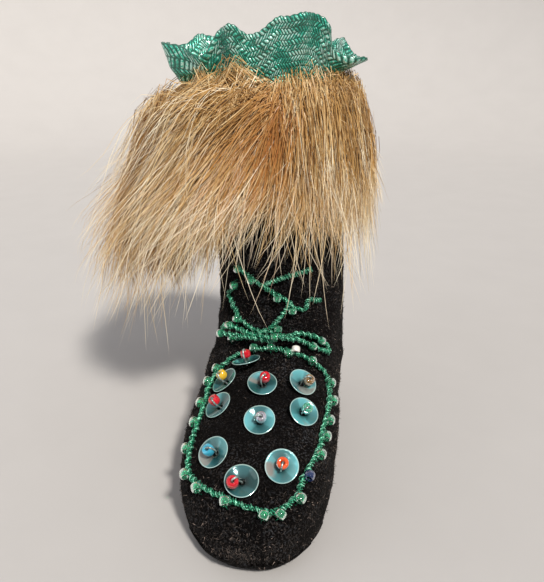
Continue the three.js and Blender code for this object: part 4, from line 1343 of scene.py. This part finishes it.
# The bow's route: along, around, and its height in bow lifts
BOW_ROUTE = (
    (0.48, 0.04, 1.85),
    (0.486, 0.07, 1.85),
    (0.494, 0.105, 1.3),
    (0.497, 0.15, 0.7),
    (0.495, 0.21, 0.55),
    (0.488, 0.265, 0.55),
    (0.478, 0.275, 0.55),
    (0.472, 0.24, 0.6),
    (0.473, 0.18, 0.7),
    (0.475, 0.12, 1.4),
    (0.474, 0.07, 2.7),
    (0.472, 0.02, 3.1),
    (0.477, -0.03, 3),
    (0.492, -0.08, 2.6),
    (0.503, -0.14, 2.4),
    (0.5, -0.19, 1.4),
    (0.488, -0.205, 1.4),
    (0.48, -0.16, 2.7),
    (0.472, -0.09, 2.8),
    (0.465, -0.03, 2.8),
    (0.464, 0.02, 1.9),
)
BOW_POINTS = 260
BOW_BEADS = (0.17, 0.31, 0.47, 0.66, 0.78)  # shares of the bow's length
# Sequins: along, around, pitch, roll, the bead's place along and aside, its colour, and how
# much painted light the sequin has and the way its painted lit side faces, in degrees
SEQUINS = (
    (0.402, -0.05, -34, -10, 0.1, 0, "red", 0.5, 200),
    (0.357, -0.125, -4, -22, 0.12, 0, "yellow", 0.28, 40),
    (0.355, 0, 2, 4, 0.12, 0.08, "red", 0.5, 150),
    (0.375, 0.134, 4, 14, 0.02, 0.14, "brown", 0.85, 120),
    (0.293, -0.136, 2, -18, 0.1, -0.04, "red", 0.5, 170),
    (0.26, 0.005, 16, 0, 0.02, 0.06, "clear", 0.7, 30),
    (0.3, 0.153, 10, 10, 0.06, 0.04, "green", 0.95, 250),
    (0.178, -0.13, 14, -12, 0.02, -0.08, "blue", 0.5, 60),
    (0.161, 0.106, 24, 2, 0.06, 0, "orange", 1.0, 200),
    (0.119, -0.018, 8, 4, -0.14, -0.24, "red", 0.25, 300),
)
# Glass: colour and how clear it is
BEAD_GLASS = {
    "red": ((0.68, 0.006, 0.02), 0.12),
    "yellow": ((0.9, 0.55, 0.03), 0.1),
    "brown": ((0.45, 0.24, 0.08), 0.6),
    "clear": ((0.8, 0.72, 0.84), 0.7),
    "green": ((0.1, 0.6, 0.4), 0.6),
    "blue": ((0.04, 0.42, 0.62), 0.15),
    "orange": ((0.9, 0.1, 0.015), 0.12),
    "navy": ((0.02, 0.04, 0.14), 0.3),
    "white": ((0.85, 0.82, 0.78), 0.05),
}
CORD_BEAD_CLEAR = 0.86


def glass_finish(name, colour=None, clear=None):
    """Clear or cloudy coloured glass; a listed name needs no colour."""
    made = bpy.data.materials.get("glass_" + name)
    if made:
        return made
    if name in BEAD_GLASS:
        colour, clear = BEAD_GLASS[name]
    glass = Finish("glass_" + name, Roughness=0.05, IOR=1.5, Coat_Weight=0.8, Coat_Roughness=0.03)
    glass.shader.inputs["Transmission Weight"].default_value = clear
    stops = [(0.3, colour_of(colour, 0.75)), (0.7, colour_of(colour, 1.15))]
    glass.into(glass.ramp(glass.noise(0.9, 2), stops), "Base Color")
    glass.bump(glass.noise(1.6, 1), 0.03)
    return glass.material


def cord_finish(look):
    """Green thread plied with a shiny metallic filament, with painted highlights on the ply crests, the
    filaments and fine specks, and painted shade in the grooves.
    """
    made = bpy.data.materials.get("twisted_cord")
    if made:
        return made
    cord = Finish("twisted_cord", Roughness=0.3, Metallic=0.5)
    # Painted light on the cord: high-contrast fine noise paints glints and dark specks, the crest value
    # paints a highlight on the ply crests and the filaments, and the darkest stop is painted shade in the
    # grooves.
    fibre = cord.noise(3.1, 3, roughness=0.75)
    uneven = cord.maths("MULTIPLY_ADD", fibre, 1.7, -0.57)
    tone = cord.maths("MULTIPLY_ADD", cord.attribute("painted_highlight"), 0.26, uneven)
    stops = [
        (0.3, colour_of(look.cord_colour, 0.18)),
        (0.46, look.cord_colour),
        (0.6, colour_of(look.cord_colour, 2.2)),
        (0.74, look.cord_glint),
    ]
    cord.into(cord.ramp(tone, stops), "Base Color")
    cord.bump(fibre, 0.12)
    return cord.material


def thread_finish(look):
    thread = Finish("sewing_thread", Roughness=0.25, Metallic=0.6)
    stops = [(0.35, colour_of(look.thread_colour, 0.35)), (0.62, look.thread_colour)]
    thread.into(thread.ramp(thread.noise(1.6, 2), stops), "Base Color")
    return thread.material


BEAD_SIDES, BEAD_RINGS = 22, 12
BEAD_HOLE = 0.3
BEAD_ROUNDNESS = 0.75


def rounded(wave):
    return np.sign(wave) * np.abs(wave) ** BEAD_ROUNDNESS


def bead_shape(middle, way, size=1.0):
    """A round-edged glass bead with its hole, on the axis given."""
    outer, half = size * BEAD_DIAMETER / 2, size * BEAD_HEIGHT / 2
    turn = ring_angles(BEAD_RINGS)
    reach = (outer + BEAD_HOLE) / 2 + (outer - BEAD_HOLE) / 2 * rounded(np.cos(turn))
    rise = half * rounded(np.sin(turn))
    way = unit(np.asarray(way, float))
    spoke = spokes(ring_angles(BEAD_SIDES), *cross_ways(way, OFF_BEADS))
    points = middle + spoke[None] * reach[:, None, None] + way * rise[:, None, None]
    faces = grid_faces(BEAD_RINGS + 1, BEAD_SIDES) % (BEAD_RINGS * BEAD_SIDES)
    return points.reshape(-1, 3), list(faces[:, ::-1])


PLIES, PLY_DEPTH, PLY_TWIST = 3, 0.24, 3.6
CORD_SIDES = 12
FILAMENTS, FILAMENT_RADIUS, FILAMENT_SIDES = 2, 0.085, 5
# How far up the painted highlight the filaments sit: they are painted pale, near the cord glint colour,
# over their own pale metallic colour.
FILAMENT_HIGHLIGHT = 1.35


def twisted(path, count):
    """A cord of three plies with loose filaments, a little uneven in its run and thickness."""
    path = evenly(path, count)
    ends = np.minimum(np.arange(count), np.arange(count)[::-1])[:, None]
    stray = np.stack([ripples(path, 3.1, seed) for seed in (61, 62, 63)], 1)
    path = path + 0.08 * stray * np.minimum(ends / 12, 1)
    radius = CORD_DIAMETER / 2 * (1.06 + 0.13 * ripples(path, 2.3, 64))
    parts = [tube(path, radius, CORD_SIDES, PLIES, PLY_DEPTH, PLY_TWIST)]
    # Painted highlight on the crests of the plies and painted shade in the grooves between them.
    crest = np.tile(np.cos(PLIES * ring_angles(CORD_SIDES)), count)
    painted_highlight = [0.5 + 0.5 * np.concatenate([crest, [1, 1]])]
    side, up = cross_ways(unit(np.gradient(path, axis=0)), OFF_PATHS)
    for k in range(FILAMENTS):
        turn = np.arange(count) * (0.62 + 0.17 * k) + 2 * k + ripples(path, 5, 66 + k)
        reach = 0.52 + 0.11 * ripples(path, 1.6, 68 + k)
        winding = path + spokes(turn, side, up) * reach[:, None]
        parts.append(tube(winding, FILAMENT_RADIUS, FILAMENT_SIDES))
        painted_highlight.append(np.full(len(parts[-1][0]), FILAMENT_HIGHLIGHT))
    points, faces = joined_parts(parts)
    return points, faces, np.concatenate(painted_highlight)


LACED_BEAD_SHARE = 0.85
VAMP_BEAD_SHARE = 0.92
STITCH_RADIUS, THREAD_RADIUS, THREAD_SIDES = 0.09, 0.17, 6
BEAD_LIFT = PIECE_GAP + LACED_BEAD_SHARE * BEAD_DIAMETER / 2
CORD_LIFT = PIECE_GAP + CORD_DIAMETER / 2
VAMP_CORD_ENDS = (0.004, 0.986)


def lying_bead(spot, size):
    at = on_boot(spot[0], spot[1], BEAD_LIFT)
    ahead = on_boot(spot[0] + STEP, spot[1], BEAD_LIFT) - at
    return bead_shape(at, ahead, size)


def bead_thread(spot):
    """A stitch of thread that goes through a bead and into the felt at both ends."""
    at = on_boot(spot[0], spot[1], BEAD_LIFT)
    way = unit(on_boot(spot[0] + STEP, spot[1], BEAD_LIFT) - at)
    out = facing(row_at(spot[0]), spot[1])
    ends = ((-1.15, -1.2), (-0.95, -0.2), (0, 0), (0.95, -0.2), (1.15, -1.2))
    line = smooth_curve([at + way * a + out * b for a, b in ends], np.linspace(0, 1, 14))
    return tube(line, STITCH_RADIUS, THREAD_SIDES)


def make_beads(name, beads, glass):
    points, faces = joined_parts(beads)
    return make_piece(name, points, faces, glass)


def make_stitches(name, spots, look):
    points, faces = joined_parts([bead_thread(spot) for spot in spots])
    make_piece(name, points, faces, cord_finish(look))


def make_cords(name, cords, look, replaced):
    """Twisted cords as one piece, with what their finish needs."""
    points, faces = joined_parts([cord[:2] for cord in cords])
    painted_highlight = {"painted_highlight": np.concatenate([cord[2] for cord in cords])}
    return make_piece(name, points, faces, cord_finish(look), [replaced], painted_highlight)


class MUKLUK_OT_vamp_cord(bpy.types.Operator):
    """Make the twisted cord round the vamp and its glass beads"""

    bl_idname = "mukluk.vamp_cord"
    bl_label = "Vamp cord"

    def execute(self, context):
        look = context.scene.mukluk_trim
        edge = vamp_edge(np.linspace(*VAMP_CORD_ENDS, 300))
        line = on_boot(edge[:, 0], edge[:, 1], np.full(300, CORD_LIFT))
        make_cords("vamp_piping", [twisted(line, 620)], look, "vamp_cord")
        beads = [lying_bead(spot, VAMP_BEAD_SHARE) for spot in VAMP_BEADS]
        navy = beads.pop(NAVY_VAMP_BEAD)
        green = glass_finish("cord_bead", look.cord_bead_colour, CORD_BEAD_CLEAR)
        make_beads("vamp_glass_beads", beads, green)
        make_beads("vamp_navy_bead", [navy], glass_finish("navy"))
        white = lying_bead(WHITE_BEAD, LACED_BEAD_SHARE)
        make_beads("vamp_white_bead", [white], glass_finish("white"))
        make_stitches("vamp_bead_stitches", (*VAMP_BEADS, WHITE_BEAD), look)
        return {"FINISHED"}


class MUKLUK_OT_lace(bpy.types.Operator):
    """Make the crossed laces on the shaft with their beads, and the bow at the ankle"""

    bl_idname = "mukluk.lace"
    bl_label = "Laces and bow"

    def execute(self, context):
        look = context.scene.mukluk_trim
        cords = []
        for spots in LACE_CORDS:
            spot = np.array(spots)
            line = on_boot(spot[:, 0], spot[:, 1], np.full(len(spot), CORD_LIFT))
            cords.append(twisted(smooth_curve(line, np.linspace(0, 1, 120)), 130))
        make_cords("crossed_laces", cords, look, "lace_crossings")
        glass = glass_finish("cord_bead", look.cord_bead_colour, CORD_BEAD_CLEAR)
        beads = [lying_bead(spot, LACED_BEAD_SHARE) for spot in LACE_BEADS]
        make_beads("lace_glass_beads", beads, glass)
        make_stitches("lace_bead_stitches", LACE_BEADS, look)
        route = np.array(BOW_ROUTE)
        line = on_boot(route[:, 0], route[:, 1], PIECE_GAP + route[:, 2] * BOW_LIFT)
        path = evenly(smooth_curve(line, np.linspace(0, 1, 400)), BOW_POINTS)
        spots = [int(share * (BOW_POINTS - 1)) for share in BOW_BEADS]
        beads = [bead_shape(path[k], path[k + 1] - path[k], LACED_BEAD_SHARE) for k in spots]
        bow_beads = make_beads("bow_glass_beads", beads, glass)
        bow = make_cords("bow", [twisted(path, 340)], look, "lace_bow")
        return {"FINISHED"}


def sequin_finish(look):
    """Clear aqua film over black felt: dark in the middle, milky toward the rim; painted shade, painted
    highlights and painted reflections by each sequin's painted light.
    """
    sequin = Finish(
        "iridescent_sequin",
        Roughness=0.12,
        Metallic=0.3,
        IOR=1.5,
        Coat_Weight=1.0,
        Coat_Roughness=0.04,
        Thin_Film_Thickness=420,
        Thin_Film_IOR=1.45,
    )
    rim, light = sequin.attribute("rim"), sequin.attribute("light")
    # Painted shade and painted highlight: each sequin runs from the shade colour to a paler film by its
    # painted light.
    pale = colour_of(look.sequin_colour, 1.7)
    film = sequin.ramp(light, [(0.12, look.sequin_shade_colour), (0.5, look.sequin_colour), (0.8, pale)])
    # Painted reflection: warm patches where the sequin has painted light.
    reflection_blush = sequin.mask(sequin.noise(0.24, 1), 0.56, 0.66, 0.8)
    reflection_blush = sequin.mix(1, reflection_blush, sequin.mask(light, 0.3, 0.45), "MULTIPLY")
    film = sequin.mix(reflection_blush, film, look.sequin_reflection_blush)
    stops = [(0.2, (0.12, 0.14, 0.14)), (0.5, grey(0.6)), (0.9, grey(0.85))]
    film = sequin.mix(1, film, sequin.ramp(rim, stops), "MULTIPLY")
    # Painted highlight round the rim.
    edge = sequin.mask(rim, 0.93, 0.98, 0.8)
    sequin.into(sequin.mix(edge, film, look.sequin_rim_highlight), "Base Color")
    sequin.bump(sequin.noise(0.6, 2), 0.06)
    return sequin.material


SEQUIN_SIDES, SEQUIN_STEPS = 44, 9
SEQUIN_RIM, SEQUIN_HOLE, SEQUIN_FILM = SEQUIN_DIAMETER / 2, 0.55, 0.13
SEQUIN_SEED = 50


def sequin_shape(seat, out, pick, painted_brightness, way):
    """A thin cupped disc with a hole, and what its finish needs: rim share and painted light."""
    angle = ring_angles(SEQUIN_SIDES)
    spoke = spokes(angle, *cross_ways(out, OFF_SEQUINS))
    wave = 0.05 * np.sin(2 * angle + pick.uniform(0, 6))
    wave = wave + 0.03 * np.sin(3 * angle + pick.uniform(0, 6))
    rings, shares = [], []
    outward = np.linspace(SEQUIN_HOLE, SEQUIN_RIM, SEQUIN_STEPS)
    for reach, half in ((outward, SEQUIN_FILM / 2), (outward[::-1], -SEQUIN_FILM / 2)):
        for r in reach:
            share = r / SEQUIN_RIM
            height = SEQUIN_WALL / 2 + SEQUIN_CUP * share**1.7 + wave * share**2
            rings.append(seat + spoke * r + out * (height + half)[:, None])
            shares.append(np.full(SEQUIN_SIDES, share))
    points = np.concatenate(rings)
    faces = grid_faces(len(rings) + 1, SEQUIN_SIDES) % len(points)
    # Painted reflection: each sequin is lighter on the side that faces its given way and darker across it,
    # scaled by its painted brightness.
    sector = np.cos(2 * np.tile(angle, len(rings)) - 2 * math.radians(way))
    light = painted_brightness * (0.75 + 0.35 * np.sign(sector) * np.abs(sector) ** 0.4)
    return points, faces[:, ::-1], {"rim": np.concatenate(shares), "light": light}


def turned(vector, axis, degrees):
    angle = math.radians(degrees)
    along = axis * (vector @ axis) * (1 - math.cos(angle))
    return vector * math.cos(angle) + np.cross(axis, vector) * math.sin(angle) + along


def sequin_thread(seat, out, at, to_side, to_ankle):
    """The stitch that comes up through a sequin, goes over its bead and back down its hole."""
    inward = seat - at
    inward = inward - out * (inward @ out)
    side = unit(inward if np.linalg.norm(inward) > 0.25 else to_side + 0.4 * to_ankle)
    top, outer = at + out * BEAD_HEIGHT * 0.58, BEAD_DIAMETER / 2 + 0.16
    loop = [
        at - out * 0.3,
        top,
        top + side * outer * 0.6 + out * 0.1,
        at + side * outer + out * 0.2,
        at + side * outer * 0.95 - out * 0.7,
        seat + out * SEQUIN_WALL + side * 0.1,
        seat - out * 0.2,
    ]
    return tube(smooth_curve(loop, np.linspace(0, 1, 36)), THREAD_RADIUS, THREAD_SIDES)


class MUKLUK_OT_sequins(bpy.types.Operator):
    """Make the sequins, the bead that holds each one, and its thread"""

    bl_idname = "mukluk.sequins"
    bl_label = "Sequins"

    def execute(self, context):
        look = context.scene.mukluk_trim
        finish = sequin_finish(look)
        pick = np.random.default_rng(SEQUIN_SEED)
        threads = []
        for i, (along, around, pitch, roll, ahead, aside, glass, *painted_shine) in enumerate(SEQUINS):
            out = facing(row_at(along), around)
            to_ankle = unit(on_boot(along + STEP, around, 0) - on_boot(along - STEP, around, 0))
            to_side = unit(np.cross(to_ankle, out))
            out = turned(turned(out, to_side, pitch), to_ankle, roll)
            tilt = math.radians(math.hypot(pitch, roll))
            drop = SEQUIN_RIM * math.sin(tilt) - SEQUIN_CUP * math.cos(tilt)
            seat = on_boot(along, around, PIECE_GAP + max(drop, 0))
            number = f"{i + 1:02d}"
            name, disc = "sequin_disc_" + number, "sequin_" + number
            # Each sequin's painted light: how much it has and the way its lit side faces.
            points, faces, tones = sequin_shape(seat, out, pick, *painted_shine)
            make_piece(name, points, faces, finish, [disc], tones)
            away = math.hypot(ahead, aside) * SEQUIN_DIAMETER
            under = SEQUIN_CUP * min(away + BEAD_DIAMETER / 2, SEQUIN_RIM) / SEQUIN_RIM
            at = seat + out * (SEQUIN_WALL + under + PIECE_GAP + BEAD_HEIGHT / 2)
            at = at + to_ankle * ahead * SEQUIN_DIAMETER + to_side * aside * SEQUIN_DIAMETER
            name, seed = "sequin_seed_" + number, "sequin_bead_" + number
            points, faces = bead_shape(at, out)
            make_piece(name, points, faces, glass_finish(glass), [seed])
            threads.append(sequin_thread(seat, out, at, to_side, to_ankle))
        points, faces = joined_parts(threads)
        make_piece("sequin_threads", points, faces, thread_finish(look))
        return {"FINISHED"}


# Stage


class StageLook(bpy.types.PropertyGroup):
    floor_colour: bpy.props.FloatVectorProperty(
        name="Floor", description="Colour of the floor", subtype="COLOR", default=(0.5, 0.485, 0.48)
    )
    sun_strength: bpy.props.FloatProperty(
        name="Main light", description="Strength of the main light", default=3.4
    )
    sun_size: bpy.props.FloatProperty(
        name="Softness", description="Angle that the main light fills", subtype="ANGLE", default=0.12
    )
    fill_power: bpy.props.FloatProperty(
        name="Fill light", description="Power of the fill light", default=0.25, unit="POWER"
    )
    sky_colour: bpy.props.FloatVectorProperty(
        name="Sky colour", description="Colour of the even light", subtype="COLOR", default=(0.95, 0.96, 1)
    )
    sky_strength: bpy.props.FloatProperty(
        name="Sky", description="Strength of the even light from all round", default=0.5
    )


# The floor is flat round the boot and curves up far away, so that no edge of it shows
FLOOR_OUTLINE = (
    (420, 0),
    (500, 12),
    (580, 50),
    (650, 120),
    (700, 220),
    (730, 350),
    (740, 480),
    (740, 620),
)
FLOOR_SIDES = 64
SUN_AT, SUN_COLOUR = (0.3, -0.4, 0.62), (1, 0.95, 0.87)
FILL_AT, FILL_COLOUR, FILL_SIZE = (-0.32, -0.25, 0.22), (0.92, 0.96, 1), 0.3
LIT_SPOT = Vector((0, -0.01, 0.035))
# The camera: its place in metres, degrees down and to the side, and its distance in pixels
CAMERA_AT = (0.020, -0.1315, 0.0825)
CAMERA_DOWN = 21.4
CAMERA_TURN = 10.0
CAMERA_NEAR = 0.005
PHOTO_HEIGHT = 582
FOCUS_PIXELS = 596


def add_floor(look):
    paper = Finish("pale_floor", Roughness=0.7)
    stops = [(0.3, colour_of(look.floor_colour, 0.97)), (0.7, look.floor_colour)]
    paper.into(paper.ramp(paper.noise(0.05, 3), stops), "Base Color")
    spoke = spokes(ring_angles(FLOOR_SIDES), np.array([1, 0, 0]), np.array([0, 1, 0]))
    rings = [spoke * reach + [0, 0, rise] for reach, rise in FLOOR_OUTLINE]
    points = np.concatenate([[(0, 0, 0)], *rings])
    middle = [(0, 1 + j, 1 + (j + 1) % FLOOR_SIDES) for j in range(FLOOR_SIDES)]
    walls = grid_faces(len(rings), FLOOR_SIDES)[:, ::-1] + 1
    mesh = bpy.data.meshes.new("floor")
    mesh.from_pydata((points * MM).tolist(), [], middle + walls.tolist())
    mesh.polygons.foreach_set("use_smooth", np.ones(len(mesh.polygons), bool))
    mesh.materials.append(paper.material)
    floor = bpy.data.objects.new("floor", mesh)
    bpy.context.scene.collection.objects.link(floor)


def add_lights(look):
    scene = bpy.context.scene
    sun = bpy.data.lights.new("main_light", "SUN")
    sun.energy, sun.angle, sun.color = look.sun_strength, look.sun_size, SUN_COLOUR
    fill = bpy.data.lights.new("fill_light", "AREA")
    fill.energy, fill.size, fill.color = look.fill_power, FILL_SIZE, FILL_COLOUR
    for light, place in ((sun, SUN_AT), (fill, FILL_AT)):
        lamp = bpy.data.objects.new(light.name, light)
        lamp.location = place
        way = LIT_SPOT - lamp.location
        lamp.rotation_euler = way.to_track_quat("-Z", "Y").to_euler()
        scene.collection.objects.link(lamp)
    world = bpy.data.worlds.new("studio")
    world.use_nodes = True
    background = world.node_tree.nodes["Background"]
    background.inputs["Color"].default_value = (*look.sky_colour, 1)
    background.inputs["Strength"].default_value = look.sky_strength
    scene.world = world
    scene.view_settings.view_transform = "Standard"


def add_camera():
    camera = bpy.data.cameras.new("photo_view")
    camera.lens = camera.sensor_width * FOCUS_PIXELS / PHOTO_HEIGHT
    camera.clip_start = CAMERA_NEAR
    viewer = bpy.data.objects.new("photo_view", camera)
    viewer.location = CAMERA_AT
    down, turn = math.radians(90 - CAMERA_DOWN), math.radians(CAMERA_TURN)
    viewer.rotation_euler = Euler((down, 0, turn))
    bpy.context.scene.collection.objects.link(viewer)
    bpy.context.scene.camera = viewer


class MUKLUK_OT_stage(bpy.types.Operator):
    """Make the floor, the lights and the camera"""

    bl_idname = "mukluk.stage"
    bl_label = "Stage"

    def execute(self, context):
        look = context.scene.mukluk_stage
        add_floor(look)
        add_lights(look)
        add_camera()
        return {"FINISHED"}


class MUKLUK_PT_panel(bpy.types.Panel):
    """The boot's looks and the buttons that make its pieces"""

    bl_label = "Mukluk boot"
    bl_space_type = "VIEW_3D"
    bl_region_type = "UI"
    bl_category = "Mukluk"

    def draw(self, context):
        for title, look in LOOKS:
            box = self.layout.box()
            box.label(text=title)
            settings = getattr(context.scene, look)
            for key in settings.__annotations__:
                box.prop(settings, key)
        for operator in OPERATORS:
            self.layout.operator(operator.bl_idname)


LOOKS = (
    ("Felt", "mukluk_felt"),
    ("Fur", "mukluk_fur"),
    ("Ribbon", "mukluk_ribbon"),
    ("Trim", "mukluk_trim"),
    ("Stage", "mukluk_stage"),
)
GROUPS = (FeltLook, FurLook, RibbonLook, TrimLook, StageLook)
OPERATORS = (
    MUKLUK_OT_stage,
    MUKLUK_OT_lace,
    MUKLUK_OT_upper,
    MUKLUK_OT_sole,
    MUKLUK_OT_vamp,
    MUKLUK_OT_nap,
    MUKLUK_OT_fur_hide,
    MUKLUK_OT_fur_hairs,
    MUKLUK_OT_fur_guard,
    MUKLUK_OT_ruffle,
    MUKLUK_OT_vamp_cord,
    MUKLUK_OT_sequins,
)


def register():
    for group, (_, name) in zip(GROUPS, LOOKS):
        bpy.utils.register_class(group)
        setattr(bpy.types.Scene, name, bpy.props.PointerProperty(type=group))
    for kind in (*OPERATORS, MUKLUK_PT_panel):
        bpy.utils.register_class(kind)


def unregister():
    for kind in (MUKLUK_PT_panel, *reversed(OPERATORS)):
        bpy.utils.unregister_class(kind)
    for group, (_, name) in zip(GROUPS, LOOKS):
        delattr(bpy.types.Scene, name)
        bpy.utils.unregister_class(group)


def main():
    register()
    for operator in OPERATORS:
        family, name = operator.bl_idname.split(".")
        getattr(getattr(bpy.ops, family), name)()


if __name__ == "__main__":
    main()
